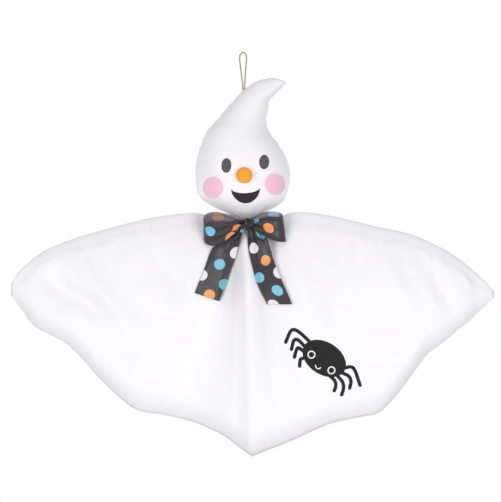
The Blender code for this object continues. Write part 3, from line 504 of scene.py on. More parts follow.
def ribbon_satin(name, dark, light):
    """Printed satin ribbon: a fine weave and a silky sheen that turns lilac where the ribbon bends."""
    material, tree, shader, place = new_material(
        name, Roughness=0.42, IOR=1.5, Sheen_Weight=0.32, Sheen_Roughness=0.35, Sheen_Tint=linear("#C9BFD6")
    )
    # Slubs coarser than the real weave, which is too fine to show, and patches where the sheen varies
    slubs = add_node(tree, "ShaderNodeTexNoise", {"Scale": 1400, "Detail": 2}, {"Vector": place})
    cloudy = add_node(tree, "ShaderNodeTexNoise", {"Scale": 120, "Detail": 2}, {"Vector": place})
    colour_between(tree, shader, linear(dark), linear(light), cloudy.outputs["Fac"])
    woven = add_node(
        tree, "ShaderNodeBump", {"Strength": 0.4, "Distance": 0.04 * MM}, {"Height": slubs.outputs["Fac"]}
    )
    tree.links.new(woven.outputs["Normal"], shader.inputs["Normal"])
    return material


def twisted_thread(name, dark, light, metal):
    """Twisted thread: plies of fine fibres, mottled and a little fuzzy."""
    material, tree, shader, place = new_material(name, Roughness=0.5, Metallic=metal)
    fibres = add_node(tree, "ShaderNodeTexNoise", {"Scale": 2600, "Detail": 3}, {"Vector": place})
    colour_between(tree, shader, linear(dark), linear(light), fibres.outputs["Fac"])
    fuzz = add_node(
        tree, "ShaderNodeBump", {"Strength": 0.5, "Distance": 0.06 * MM}, {"Height": fibres.outputs["Fac"]}
    )
    tree.links.new(fuzz.outputs["Normal"], shader.inputs["Normal"])
    return material


def drawn_steel():
    """Drawn soft steel wire: grey, with faint draw marks."""
    material, tree, shader, place = new_material(
        "drawn_steel_wire", Base_Color=linear("#B9BABD"), Metallic=1.0, Roughness=0.35
    )
    marks = add_node(tree, "ShaderNodeTexNoise", {"Scale": 900, "Detail": 2}, {"Vector": place})
    worn = add_node(
        tree, "ShaderNodeMapRange", {"To Min": 0.28, "To Max": 0.45}, {"Value": marks.outputs["Fac"]}
    )
    tree.links.new(worn.outputs["Result"], shader.inputs["Roughness"])
    return material


# Head

HEAD_SEGMENTS = 112
HEAD_STEPS = 9


def in_head(share):
    """x, z of a place given in shares of the head's width and height."""
    return NECK_X + share[0] * HEAD_WIDTH, NECK_Z + share[1] * HEAD_HEIGHT


def head_relief(place, turn, depth):
    """How far the cover stands in or out: neck puckers, side seams and the lumps of the filling."""
    up = place.z - NECK_Z
    puckers = cos(NECK_PUCKERS * turn + 1.1 * sin(3 * turn))
    puckers *= PUCKER_DEPTH * exp(-abs(up - 1 * MM) / PUCKER_FADE)
    beside = abs(sin(turn)) * depth
    seam = -SEAM_DEPTH * exp(-((beside / SEAM_WIDTH) ** 2))
    pulled = sin(2 * pi * up / PULL_SPACING + 3 * noise.noise(place * 40))
    pulled *= PULL_DEPTH * exp(-((beside / PULL_REACH) ** 2))
    # Large lumps about 40 mm across with small ones of 15 mm on them
    lumps = 0.8 * MM * noise.noise(place * 24) + 0.2 * MM * noise.noise(place * 70 + Vector((7, 1, 3)))
    free = min(1, depth / (12 * MM))
    return (puckers + seam + pulled + lumps) * free


def make_head(satin):
    """The stuffed cover: sections through the outline's stations, with a neck stub below."""
    stations = []
    for left, right, share in HEAD_STATIONS:
        stations.append((*in_head(left), *in_head(right), share * HEAD_DEPTH / 2))
    # The neck stub, in shares of its length and radius
    for drop, radius in ((0.25, 1.0), (0.92, 1.0), (1.0, 0.8)):
        z, reach = NECK_Z - drop * NECK_LENGTH, radius * NECK_RADIUS
        stations.insert(0, (NECK_X - reach, z, NECK_X + reach, z, reach))
    edges = [(i, Vector(station[:4])) for i, station in enumerate(stations)]
    depths = [(i, station[4]) for i, station in enumerate(stations)]
    rows = (len(stations) - 1) * HEAD_STEPS + 1
    vertices, turns = [], []
    for row in range(rows):
        at = row / HEAD_STEPS
        left_x, left_z, right_x, right_z = smooth(edges, at)
        depth = smooth(depths, at)
        middle = Vector(((left_x + right_x) / 2, 0, (left_z + right_z) / 2))
        half = Vector(((right_x - left_x) / 2, 0, (right_z - left_z) / 2))
        for j in range(HEAD_SEGMENTS):
            turn = 2 * pi * j / HEAD_SEGMENTS
            vertices.append(middle + half * cos(turn) + Vector((0, depth * sin(turn), 0)))
            turns.append((turn, depth))
    faces = grid_faces(rows, HEAD_SEGMENTS, True)
    last = (rows - 1) * HEAD_SEGMENTS
    faces += [tuple(reversed(range(HEAD_SEGMENTS))), tuple(range(last, last + HEAD_SEGMENTS))]
    head = make_piece("head_cover", vertices, faces, [satin])
    for vertex, (turn, depth) in zip(head.data.vertices, turns):
        vertices[vertex.index] += vertex.normal * head_relief(vertex.co, turn, depth)
    for vertex in head.data.vertices:
        vertex.co = vertices[vertex.index]
    head.data.update()
    return head


# Felt patches


def circle(centre, radius_x, radius_y, count, turn=0.0):
    """The outline of a flat circle or oval."""
    spots = []
    for i in range(count):
        spot = Vector((radius_x * cos(2 * pi * i / count), radius_y * sin(2 * pi * i / count)))
        spots.append(Vector(centre) + Matrix.Rotation(turn, 2) @ spot)
    return spots


def stroke(points, width):
    """The flat outline of a thick line with round ends."""
    left, right = [], []
    for i, point in enumerate(points):
        ahead = direction(points, i)
        normal = Vector((-ahead.y, ahead.x)) * width / 2
        left.append(point + normal)
        right.append(point - normal)

    def cap(end, before):
        out = (end - before).normalized()
        side = Vector((out.y, -out.x))
        turns = [pi * i / 6 for i in range(1, 6)]
        return [end + (side * cos(turn) + out * sin(turn)) * width / 2 for turn in turns]

    return cap(points[0], points[1]) + right + cap(points[-1], points[-2]) + left[::-1]


def inside(point, outline):
    """Whether a flat point lies within an outline."""
    crossings = 0
    for a, b in zip(outline, outline[1:] + outline[:1]):
        if (a.y > point.y) != (b.y > point.y):
            crossings += point.x < a.x + (point.y - a.y) * (b.x - a.x) / (b.y - a.y)
    return crossings % 2 == 1


def tree_of(points):
    """A search tree of flat points."""
    found = KDTree(len(points))
    for i, point in enumerate(points):
        found.insert((point.x, point.y, 0), i)
    found.balance()
    return found


def flat_pattern(outlines, marks, pitch):
    """Triangles that cover the union of the outlines, with each mark's border cut in.

    A mark is (outline, hole or None, slot). It returns the flat points, the triangles and their slots.
    """
    spots, borders, shapes = [], [], []
    for outline in outlines:
        shapes.append(list(range(len(spots), len(spots) + len(outline))))
        spots += outline
    for outline, hole, _ in marks:
        for loop in filter(None, (outline, hole)):
            first = len(spots)
            borders += [(first + i, first + (i + 1) % len(loop)) for i in range(len(loop))]
            spots += loop
    near = tree_of(spots)
    low = Vector((min(p.x for p in spots), min(p.y for p in spots)))
    high = Vector((max(p.x for p in spots), max(p.y for p in spots)))
    for i in range(1, int((high.x - low.x) / pitch) + 2):
        for j in range(1, int((high.y - low.y) / pitch) + 1):
            spot = low + Vector((i - 0.5 * (j % 2), j)) * pitch
            if near.find((spot.x, spot.y, 0))[2] > 0.55 * pitch:
                if any(inside(spot, outline) for outline in outlines):
                    spots.append(spot)
    # Output type 1 keeps only the triangles within the outlines
    points, _, triangles = delaunay_2d_cdt(spots, borders, shapes, 1, 1e-6)[:3]
    slots = []
    for triangle in triangles:
        middle = sum((points[i] for i in triangle), Vector((0, 0))) / 3
        slot = 0
        for outline, hole, number in marks:
            if inside(middle, outline) and not (hole and inside(middle, hole)):
                slot = number
        slots.append(slot)
    return points, triangles, slots


def border_of(triangles):
    """The points on the outer border of a set of triangles."""
    edges = {}
    for a, b, c in triangles:
        for edge in ((a, b), (b, c), (c, a)):
            key = tuple(sorted(edge))
            edges[key] = edges.get(key, 0) + 1
    return {i for edge, times in edges.items() if times == 1 for i in edge}


def felt_patch(name, outlines, marks, surface, pitch, materials):
    """A felt patch laid on a surface, its top edge worn round."""
    points, triangles, slots = flat_pattern(outlines, marks, pitch)
    border = border_of(triangles)
    near = tree_of([points[i] for i in border])
    top, bottom = [], []
    for i, point in enumerate(points):
        place, normal = front_of(surface, point.x, point.y)
        inward = 0 if i in border else near.find((point.x, point.y, 0))[2]
        lift = FELT_LIFT * sqrt(1 - (1 - min(inward / FELT_EDGE, 1)) ** 2)
        top.append(place + normal * (FELT_CLEAR + lift))
        bottom.append(place + normal * FELT_BACK)
    count = len(top)
    faces = [tuple(triangle) for triangle in triangles]
    under = [tuple(i if i in border else count + i for i in triangle[::-1]) for triangle in triangles]
    patch = make_piece(name, top + bottom, faces + under, materials, slots + slots)
    patch.data.set_sharp_from_angle(angle=1.0)
    with mesh_of(patch) as mesh:
        loose = [vertex for vertex in mesh.verts if not vertex.link_faces]
        bmesh.ops.delete(mesh, geom=loose, context="VERTS")
    return patch


def mouth_outline():
    """A crescent: a deep lower edge and a shallow upper one that meet in pointed corners."""
    count = 28
    spots = []
    for sag, steps in ((MOUTH_BOTTOM_SAG, range(count + 1)), (MOUTH_TOP_SAG, range(count - 1, 0, -1))):
        for i in steps:
            turn = pi * i / count
            spots.append(Vector((-cos(turn) * MOUTH_WIDTH / 2, -sag * sin(turn) ** MOUTH_POWER)))
    turn = Matrix.Rotation(FACE_TILT, 2)
    return [turn @ spot + Vector(in_head(MOUTH)) for spot in spots]


def make_nose(surface, material):
    """A stuffed dome of felt, gathered round its rim."""
    x, z = in_head(NOSE)
    place, _ = front_of(surface, x, z)
    rim = NOSE_WIDTH / 2
    profile = [(i, Vector(point)) for i, point in enumerate(NOSE_PROFILE)]
    rows, columns = 30, 60
    vertices = []
    for row in range(rows):
        across, out = smooth(profile, row * (len(profile) - 1) / (rows - 1))
        for column in range(columns):
            turn = 2 * pi * column / columns
            gather = 1 + 0.022 * cos(13 * turn + sin(2 * turn)) * max(0, 1 - out * 1.8)
            reach = rim * across * gather
            y = place.y - out * NOSE_DEPTH
            vertices.append(Vector((x + reach * cos(turn), y, z + reach * sin(turn))))
    faces = grid_faces(rows, columns, True)
    faces.append(tuple(reversed(range(columns))))
    nose = make_piece("nose_dome", vertices, faces, [material])
    with mesh_of(nose) as mesh:
        bmesh.ops.remove_doubles(mesh, verts=mesh.verts, dist=0.01 * MM)
        bmesh.ops.recalc_face_normals(mesh, faces=mesh.faces)
    return nose


# Hanging loop


def make_loop(surface):
    """Three plies, one of them gold, twisted into a thread from the head up over the hook and back."""
    khaki = twisted_thread("khaki_cotton_thread", "#776F5B", "#A0977F", 0.0)
    gold = twisted_thread("gold_metallic_thread", "#B0935A", "#D9C48F", 0.6)
    foot_x = in_head(LOOP_FOOT)[0]
    half = LOOP_WIDTH / 2
    feet = []
    for side in (-1, 1):
        x = foot_x + side * LOOP_FEET / 2
        top = surface.ray_cast(Vector((x, 0, 1)), Vector((0, 0, -1)))[0]
        feet.append(Vector((x, 0, top.z - 0.8 * MM)))
    route = [
        feet[0], (-0.38 * half, 0, -0.72 * LOOP_HEIGHT), (-0.8 * half, 0, -0.38 * LOOP_HEIGHT),
        (-half, 0, -0.13 * LOOP_HEIGHT), (-0.62 * half, 0, -0.02 * LOOP_HEIGHT), (0, 0, THREAD / 2),
        (0.62 * half, 0, -0.02 * LOOP_HEIGHT), (half, 0, -0.13 * LOOP_HEIGHT),
        (0.84 * half, 0, -0.38 * LOOP_HEIGHT), (0.6 * half, 0, -0.72 * LOOP_HEIGHT), feet[1],
    ]
    line = even_points(curve_through(route, 400), LOOP_STEP)
    parts, slots = [], []
    for ply in range(3):
        winding = []
        for i, point in enumerate(line):
            across = direction(line, i).cross(Vector((0, 1, 0)))
            turn = 2 * pi * (i * LOOP_STEP / PLY_TWIST + ply / 3)
            winding.append(point + (across * cos(turn) + Vector((0, 1, 0)) * sin(turn)) * PLY_WINDING)
        part = tube(winding, [PLY_RADIUS] * len(winding), 7)
        parts.append(part)
        slots += [1 if ply == 0 else 0] * len(part[1])
    vertices, faces = join(parts)
    loop = make_piece("loop_thread", vertices, faces, [khaki, gold], slots)
    return loop, line


# Drape

# Columns to either side and round the collar, rows of the casing in shares of its depth, and rows below it
SIDE_COLUMNS = 92
COLLAR_COLUMNS = 22
CASING_ROWS = (0, 0.015, 0.05, 0.11, 0.19, 0.29, 0.41, 0.54, 0.67, 0.79, 0.89, 0.95, 1.0)
BODY_ROWS = 58


def reach_at(x):
    """How far the drape reaches on the side that a place is on."""
    return LEFT_REACH if x < 0 else RIGHT_REACH


def shoulder_z(u):
    """Height of the shoulder line, u to the right of the neck."""
    line = LEFT_SHOULDER if u < 0 else RIGHT_SHOULDER
    return NECK_Z - smooth(line, abs(u) / reach_at(u)) * SHOULDER_DROP


def hem_z(u):
    """Height of the hem, u to the right of the neck."""
    if u < HEM_POINT:
        return NECK_Z - smooth(LEFT_HEM, -u / LEFT_REACH) * DRAPE_LENGTH
    return NECK_Z - smooth(RIGHT_HEM, u / RIGHT_REACH) * DRAPE_LENGTH


def column_tops():
    """Where the columns of the cloth start, left to right, closer together at the collar."""
    steps = [i / SIDE_COLUMNS for i in range(1, SIDE_COLUMNS + 1)]
    left = [-COLLAR_RADIUS - (LEFT_REACH - COLLAR_RADIUS) * step for step in steps]
    collar = [-COLLAR_RADIUS * cos(pi * i / COLLAR_COLUMNS) for i in range(COLLAR_COLUMNS + 1)]
    right = [COLLAR_RADIUS + (RIGHT_REACH - COLLAR_RADIUS) * step for step in steps]
    return left[::-1] + collar + right


def column_foot(u):
    """Where the column that starts at u meets the hem: fanned outwards and bent to the hem's point."""
    spare = max(0, 1 - abs(u) / reach_at(u))
    return u + spare * (HEM_FAN * tanh(u / HEM_FAN_REACH) + HEM_POINT * exp(-((u / HEM_POINT_REACH) ** 2)))


def casing_depth(length):
    """Fold to stitch line in a column of some length."""
    return CASING * min(1, length / FULL_CASING)


def casing_half(down):
    """How far a layer stands off the wire's middle: round over the fold, then flatter to the stitches."""
    stitched = STITCH_GAP / 2 + CLOTH / 2
    if down < CASING_SWELL:
        return CASING_SWELL * sqrt(max(0, 1 - (1 - down / CASING_SWELL) ** 2))
    below = max(0, down - 2 * CASING_SWELL)
    return CASING_SWELL + (stitched - CASING_SWELL) * min(below / (CASING - 2 * CASING_SWELL), 1)


def casing_lean(u, down):
    """How far forward both layers lie."""
    start = CASING_SWELL / 2
    share = min(max((down - start) / (CASING - start), 0), 1)
    away = min(max((abs(u) - COLLAR_RADIUS) / LEAN_START, 0), 1) * min((reach_at(u) - abs(u)) / LEAN_START, 1)
    return CASING_LEAN * share**1.1 * exp(-max(0, down - CASING) / CASING_LEAN_FADE) * away


def fold_height(folds, x, drop):
    """How far the folds stand out at a place x to the right of the neck's centre and drop below it."""
    unit = DRAPE_LENGTH / 100
    total = 0
    for (x0, z0), (x1, z1), height, left, right in folds:
        dx, dz = (x1 - x0) * unit, (z1 - z0) * unit
        ox, oz = x - x0 * unit, drop - z0 * unit
        length = hypot(dx, dz)
        along = (ox * dx + oz * dz) / length**2
        aside = (ox * dz - oz * dx) / length
        near, far = right if aside > 0 else left
        reach = (near + (far - near) * min(max(along, 0), 1)) * unit
        crest = max(0, 1 - (sqrt(aside**2 + FOLD_ROUND**2) - FOLD_ROUND) / reach)
        beyond = max(-along, along - 1, 0) * length / FOLD_FADE
        total += height * unit * crest**1.4 * exp(-(beyond**2))
    return total


def gathers_of(seed):
    """Small tucks under the casing's stitch line: place, height, half-width and length."""
    pick = random.Random(seed)
    tucks, u = [], -LEFT_REACH + 14 * MM
    while u < RIGHT_REACH - 12 * MM:
        height, width, length = pick.uniform(-1.25, 1.25), pick.uniform(2.2, 4.4), pick.uniform(12, 36)
        tucks.append((u, height * MM, width * MM, length * MM))
        u += pick.uniform(4.5, 10) * MM
    return tucks


GATHERS = {-1: gathers_of(11), 1: gathers_of(23)}


def cloth_relief(u, x, z, below, length, side):
    """How far the folds, tucks and creases of one layer stand out beyond its even spread."""
    folds = FRONT_FOLDS if side < 0 else BACK_FOLDS
    relief = fold_height(folds, x, -z) * min(1, below / FOLD_START) * min(1, length / FULL_FOLD)
    started = min(1, below / (4 * MM))
    for at, height, width, fade in GATHERS[side]:
        if abs(u - at) < 3 * width:
            relief += height * exp(-(((u - at) / width) ** 2)) * started * exp(-((below / fade) ** 1.5))
    # Rays of pulled cloth that run out from the neck
    rays = cos(22 * atan2(x, -z) + 2) * exp(-hypot(x, z) / (60 * MM))
    relief += 0.5 * MM * rays * min(1, below / (12 * MM))
    # Creases about 45 mm across with smaller ones of 16 mm on them
    grain = Vector((x, side * 0.4, z))
    creases = 0.9 * MM * noise.noise(grain * 22) + 0.3 * MM * noise.noise(grain * 62)
    return relief + creases * min(1, below / (20 * MM))


def cloth_half(u, down, length, side):
    """How far one layer stands off the wire's plane: side is -1 for the front and 1 for the back."""
    x = u + down / length * (column_foot(u) - u)
    z = shoulder_z(u) - NECK_Z - down
    below = max(0, down - casing_depth(length))
    spread = FRONT_SPREAD if side < 0 else BACK_SPREAD
    body = spread * below / (below + HALF_SPREAD) * (1 - 0.55 * (x / reach_at(x)) ** 2)
    body += cloth_relief(u, x, z, below, length, side)
    curl = max(0, 1 - (length - down) / HEM_CURL_HEIGHT)
    body -= HEM_CURL * curl**2 * min(1, max(body, 0) / HEM_CURL_START)
    collar = COLLAR_RADIUS * sqrt(max(0, 1 - (u / COLLAR_RADIUS) ** 2))
    collar *= exp(-max(0, down - NECK_LENGTH) / COLLAR_FADE)
    flare = COLLAR_RADIUS * exp(-((u / (1.7 * COLLAR_RADIUS)) ** 2)) * (1 - exp(-down / FLARE_START))
    flare *= exp(-down / FLARE_FADE)
    # Puckers of the casing, 6.3 mm apart
    wave = sin(2 * pi * u / (6.3 * MM) + 2 * noise.noise(Vector((x, side * 0.4, z)) * 30))
    pucker = 0.22 * MM * wave * min(1, down / (3 * MM)) * exp(-below / (3 * MM))
    half = max(casing_half(down) + pucker, collar, flare) + body
    closing = max(0, (abs(u) - reach_at(u)) / TIP_LENGTH + 1)
    return max(half, 0.4 * MM) * sqrt(max(0.02, 1 - closing**2))


def painted_shade_share(down, length):
    """How much painted shade the cloth gets, for where it is turned over on itself: 1 in the casing and at
    the hem, 0 where it is single.
    """
    in_casing = exp(-((max(0, down - casing_depth(length)) / (5 * MM)) ** 2))
    return max(in_casing, exp(-(((length - down) / (11 * MM)) ** 2)))


def column_points(u, side):
    """Places and painted shade shares of one column of a layer, from the top to the hem."""
    top, foot = shoulder_z(u), hem_z(column_foot(u))
    collar = max(0, 1 - (u / COLLAR_RADIUS) ** 2)
    top += COLLAR_HEIGHT * collar
    length = top - foot
    casing = casing_depth(length)
    downs = [share * casing for share in CASING_ROWS]
    for row in range(1, BODY_ROWS + 1):
        share = row / BODY_ROWS
        # Rows lie a little closer together towards the hem, which curls
        downs.append(casing + share * (1.12 - 0.12 * share) * (length - casing))
    points, shares = [], []
    for down in downs:
        x = u + down / length * (column_foot(u) - u)
        half = COLLAR_RADIUS * sqrt(collar) if down == 0 else cloth_half(u, down, length, side)
        points.append(Vector((NECK_X + x, side * half - casing_lean(u, down), top - down)))
        shares.append(painted_shade_share(down, length))
    return points, shares


def stitch_casing(columns):
    """Running stitches along the foot of the casing on both layers, none at the neck."""
    thread = twisted_thread("white_sewing_thread", "#ECEBF0", "#F6F5F9", 0.0)
    stitches = []
    row = len(CASING_ROWS) - 1
    for side, layer in zip((-1, 1), columns):
        line = [column[row] + Vector((0, side * (SATIN / 2 + 0.05 * MM), 0)) for column in layer]
        dip = Vector((0, -side * STITCH_RADII[2], 0))
        for way in (-1, 1):
            half = [point for point in line if way * (point.x - NECK_X) > STITCH_FREE]
            spots = even_points(half, STITCH_STEP)
            for i in range(0, len(spots) - 5, 6):
                start, *run, end = spots[i : i + 5]
                stitches.append(tube([start + dip, *run, end + dip], STITCH_RADII, 6))
    return make_piece("casing_stitches", *join(stitches), [thread])


def make_drape(satin):
    """The folded sheet with its rolled hem and the stitches of its casing."""
    made = [[column_points(u, side) for u in column_tops()] for side in (-1, 1)]
    columns = [[points for points, shares in layer] for layer in made]
    vertices, faces, painted_shade = [], [], []
    for side, layer in zip((-1, 1), made):
        first, count = len(vertices), len(layer[0][0])
        for points, shares in layer:
            vertices += points
            painted_shade += shares
        for c in range(len(layer) - 1):
            for r in range(count - 1):
                a, b = first + c * count + r, first + (c + 1) * count + r
                # Both layers face outwards
                faces.append((a, a + 1, b + 1, b) if side < 0 else (a, b, b + 1, a + 1))
    drape = make_piece("drape_cloth", vertices, faces, [satin])
    # Painted shade: the share by which the casing and the hem are painted greyer
    drape.data.attributes.new("painted_shade", "FLOAT", "POINT").data.foreach_set("value", painted_shade)
    with mesh_of(drape) as mesh:
        bmesh.ops.remove_doubles(mesh, verts=mesh.verts, dist=0.02 * MM)
    thicken(drape, SATIN)

    rolls = [tube([column[-1] for column in layer], [HEM_ROLL] * len(layer), 8) for layer in columns]
    hem = make_piece("drape_hem", *join(rolls), [satin])
    return drape, hem, stitch_casing(columns)


# Ribbon bow


def at_neck(x, y, z):
    """A point given in mm from the neck's centre."""
    return Vector((NECK_X + x * MM, y * MM, NECK_Z + z * MM))


# Each strip: its path as (x, y, z) in mm from the neck's centre, the direction across it, its width at each
# point in shares of the ribbon's, and how deep its folds are there in mm
LEFT_LOOP = (
    ((-1, -16.5, -5), (-0.05, -0.35, 0.94), 0.30, 0.8), ((-6, -21, -5.5), (-0.05, -0.40, 0.92), 0.42, 1.3),
    ((-14, -24, -9.2), (-0.12, -0.42, 0.90), 0.56, 1.5), ((-23, -25, -13.4), (-0.10, -0.34, 0.93), 0.80, 0.9),
    ((-32, -25, -15.6), (-0.03, -0.34, 0.94), 0.90, 0.4), ((-38.5, -23, -14), (0, -0.42, 0.90), 0.91, 0.1),
    ((-41, -18.5, -9.8), (0, -0.56, 0.83), 0.94, 0), ((-38.3, -13.5, -4.6), (0, -0.56, 0.83), 0.94, 0.2),
    ((-30, -11.5, -2.6), (0.02, -0.54, 0.84), 0.92, 0.4), ((-20, -12, -2.9), (0.08, -0.50, 0.86), 0.78, 0.7),
    ((-10, -13.5, -3.9), (0.12, -0.42, 0.90), 0.53, 0.9), ((-1, -15, -5), (0.05, -0.35, 0.94), 0.32, 0.7),
)
RIGHT_LOOP = (
    ((5, -16.5, -5), (0, -0.15, 0.99), 0.30, 0.8), ((10, -21, -6), (0.05, -0.15, 0.99), 0.48, 1.3),
    ((17, -23.5, -7.5), (-0.02, -0.18, 0.98), 0.68, 1.1), ((25, -24.5, -9), (-0.10, -0.20, 0.97), 0.92, 0.6),
    ((32.5, -23.5, -10.2), (-0.14, -0.20, 0.97), 1.0, 0.2), ((38.3, -19, -10), (-0.15, -0.20, 0.97), 1.0, 0),
    ((38.6, -14.5, -7.5), (-0.12, -0.26, 0.96), 1.0, 0), ((33, -11.5, -5), (-0.08, -0.30, 0.95), 1.0, 0.3),
    ((24, -11, -4.2), (-0.10, -0.30, 0.95), 0.98, 0.5), ((14, -12.5, -4.6), (-0.12, -0.26, 0.96), 0.7, 0.8),
    ((5, -15, -5), (0, -0.15, 0.99), 0.32, 0.7),
)
# Each tail: its middle, the line from edge to edge and how deep its folds are, all in mm. The cloth behind
# gives the depth.
LEFT_TAIL = (
    ((-1.5, 0, -6.4), (6.0, 0, 2.0), 0.8), ((-10, 0, -16.3), (14, 0, 1.3), 1.3),
    ((-17, 0, -26), (20.7, 0, -2.2), 0.7), ((-21, 0, -33), (24.2, 0, -5.6), 0.35),
    ((-27.6, 0, -51.5), (23.9, 0, -8.4), 0.15), ((-32.6, 0, -64.5), (24.2, 0, -8.4), 0.1),
    ((-37.6, 0, -77.4), (24.2, 0, -8.4), 0.05),
)
RIGHT_TAIL = (
    ((5.1, 0, -6.4), (5.5, 0, -0.7), 0.8), ((11, 0, -16.7), (16.9, 0, 2), 1.3),
    ((13.8, 0, -27.7), (20.4, 0, 5.4), 0.8), ((18.6, 0, -46), (20.8, 0, 8.1), 0.4),
    ((23.8, 0, -60.8), (22.8, 0, 6.6), 0.15), ((34.5, 0, -84.5), (24.6, 0, 0), 0.05),
)
# Dots by the place where each shows, in mm from the neck's centre: the shares of the strip to look in, then
# right, up and colour
LEFT_LOOP_DOTS = (
    (0.0, 0.5, -34.5, -12.6, "blue"), (0.0, 0.4, -9.1, -7.8, "orange"), (0.0, 0.4, -15.2, -17.2, "orange"),
    (0.6, 1.0, -27.1, 2.4, "orange"), (0.6, 1.0, -14, -8, "teal"), (0.55, 0.8, -34, -9, "white"),
)
RIGHT_LOOP_DOTS = (
    (0.0, 0.5, 23.6, -8.6, "orange"), (0.3, 0.62, 39, -15.4, "blue"), (0.0, 0.4, 9.5, -1, "teal"),
    (0.62, 1.0, 29.2, 5.2, "blue"), (0.62, 1.0, 24, -10, "orange"), (0.62, 1.0, 12, -6, "white"),
)
LEFT_TAIL_DOTS = (
    (0, 1, -9.5, -32.8, "white"), (0, 1, -25.7, -44.5, "blue"), (0, 1, -42.5, -56.3, "white"),
    (0, 1, -20.5, -65.1, "teal"), (0, 1, -35.6, -74.6, "orange"), (0, 0.4, -1.6, -9, "blue"),
)
RIGHT_TAIL_DOTS = (
    (0, 1, 8.8, -29.1, "white"), (0, 1, 20.2, -41.2, "orange"), (0, 1, 33, -52.6, "white"),
    (0, 1, 14.3, -58.5, "blue"), (0, 1, 31.6, -70.6, "blue"), (0, 1, 28, -86, "white"),
    (0, 0.4, 15.4, -15.9, "teal"),
)
COLOURS = ("black", "orange", "blue", "teal", "white")


def tail_stations(stations, cloth):
    """Gives a tail's stations their depth, just in front of the cloth that they hang on."""
    made = []
    for i, (spot, edge, crease) in enumerate(stations):
        middle, edge = at_neck(*spot), Vector(edge)
        spots = [middle + edge * share * MM for share in (-0.5, -0.25, 0, 0.25, 0.5)]
        fronts = [front_of(cloth, place.x, place.z) for place in spots]
        y = min([found[0].y for found in fronts if found] + [COLLAR_FRONT]) / MM
        y -= TAIL_LIFTS[min(i, len(TAIL_LIFTS) - 1)]
        width = edge.length * MM / RIBBON_WIDTH
        made.append(((spot[0], y, spot[2]), edge.normalized(), width, crease))
    return made


def strip_place(stations):
    """Maps a place along and across a ribbon, in shares of its length and width, to space; and its length."""
    spots = [at_neck(*station[0]) for station in stations]
    runs = [0.0]
    for before, after in zip(spots, spots[1:]):
        runs.append(runs[-1] + (after - before).length)
    length = runs[-1]
    keys = [run / length for run in runs]
    middles = list(zip(keys, spots))
    acrosses = [(key, Vector(station[1])) for key, station in zip(keys, stations)]
    widths = [(key, station[2]) for key, station in zip(keys, stations)]
    creases = [(key, station[3] * MM) for key, station in zip(keys, stations)]

    def place(along, across):
        side = smooth(acrosses, along).normalized()
        ahead = smooth(middles, min(along + 0.01, 1)) - smooth(middles, max(along - 0.01, 0))
        out = side.cross(ahead).normalized()
        wave = cos(2.6 * pi * across + 0.6 + 2 * along) + 0.4 * cos(5.3 * pi * across + 2)
        aside = across * smooth(widths, along) * RIBBON_WIDTH / 2
        return smooth(middles, along) + side * aside + out * smooth(creases, along) * wave

    return place, length


def nearest_on(place, low, high, x, z):
    """Where on a strip, between two shares of its length, the place shows that is nearest to x, z in mm."""
    spot = at_neck(x, 0, z)
    tries = [(low + (high - low) * i / 60, j / 10) for i in range(61) for j in range(-12, 13)]

    def miss(at):
        # Of places that show alike, the one nearer the ribbon's middle wins
        found = place(*at)
        return hypot(found.x - spot.x, found.z - spot.z) + 0.02 * abs(at[1]) * MM

    return min(tries, key=miss)


def make_strip(stations, dots, surfaces, settled):
    """Vertices, triangles, colours and length of one strip of ribbon, kept clear of what lies behind it.

    A settled share above 0 lets the strip sink that far onto the cloth, away from the knot.
    """
    place, length = strip_place(stations)
    half = RIBBON_WIDTH / 2
    steps = int(length / RIBBON_EDGE_PITCH)
    outline = [Vector((length * i / steps, -half)) for i in range(steps + 1)]
    outline += [Vector((length, -half + RIBBON_WIDTH * i / 16)) for i in range(1, 16)]
    outline += [Vector((length * i / steps, half)) for i in range(steps, -1, -1)]
    outline += [Vector((0, half - RIBBON_WIDTH * i / 16)) for i in range(1, 16)]
    marks = []
    for low, high, x, z, colour in dots:
        along, across = nearest_on(place, low, high, x, z)
        spots = circle((along * length, across * half), DOT_RADIUS, DOT_RADIUS, 26)
        spots = [Vector((min(max(s.x, 0), length), min(max(s.y, -half), half))) for s in spots]
        marks.append((spots, None, COLOURS.index(colour)))
    points, triangles, slots = flat_pattern([outline], marks, RIBBON_PITCH)
    vertices = []
    for point in points:
        along = point.x / length
        spot = place(along, point.y / half)
        sink = settled * min(max((along - 0.2) / 0.3, 0), 1)
        for surface in surfaces:
            found = front_of(surface, spot.x, spot.z)
            if found and sink:
                spot.y += sink * (found[0].y - TAIL_CLEAR - spot.y)
            if found and spot.y > found[0].y - RIBBON_CLEAR:
                spot.y = found[0].y - RIBBON_CLEAR
        vertices.append(spot)
    return vertices, [tuple(triangle) for triangle in triangles], slots, length


def knot_part():
    """The turn of ribbon that holds the bow, crushed into lengthwise folds."""
    rows, columns = 21, 56
    middle = Vector((NECK_X + KNOT_RIGHT, -BAND_RADIUS - KNOT_DEPTH / 2, NECK_Z - KNOT_DROP))
    vertices = []
    for row in range(rows):
        s = 2 * row / (rows - 1) - 1
        for column in range(columns):
            turn = 2 * pi * column / columns
            crease = 1.3 * cos(2.1 * pi * s + 3.1 * sin(turn + 0.7))
            crease += 0.9 * cos(5.3 * s + 4.2 * sin(turn) + 1)
            round_off = 1 - 0.30 * abs(s) ** 3
            reach_y = KNOT_DEPTH / 2 * round_off + crease * 0.8 * MM
            reach_z = (KNOT_HEIGHT / 2 - 0.8 * MM) * round_off + crease * 0.6 * MM
            x = s * KNOT_WIDTH / 2 * (0.88 + 0.12 * cos(turn)) + 1.3 * MM * sin(turn)
            vertices.append(middle + Vector((x, -reach_y * cos(turn), reach_z * sin(turn))))
    return vertices, grid_faces(rows, columns, True)


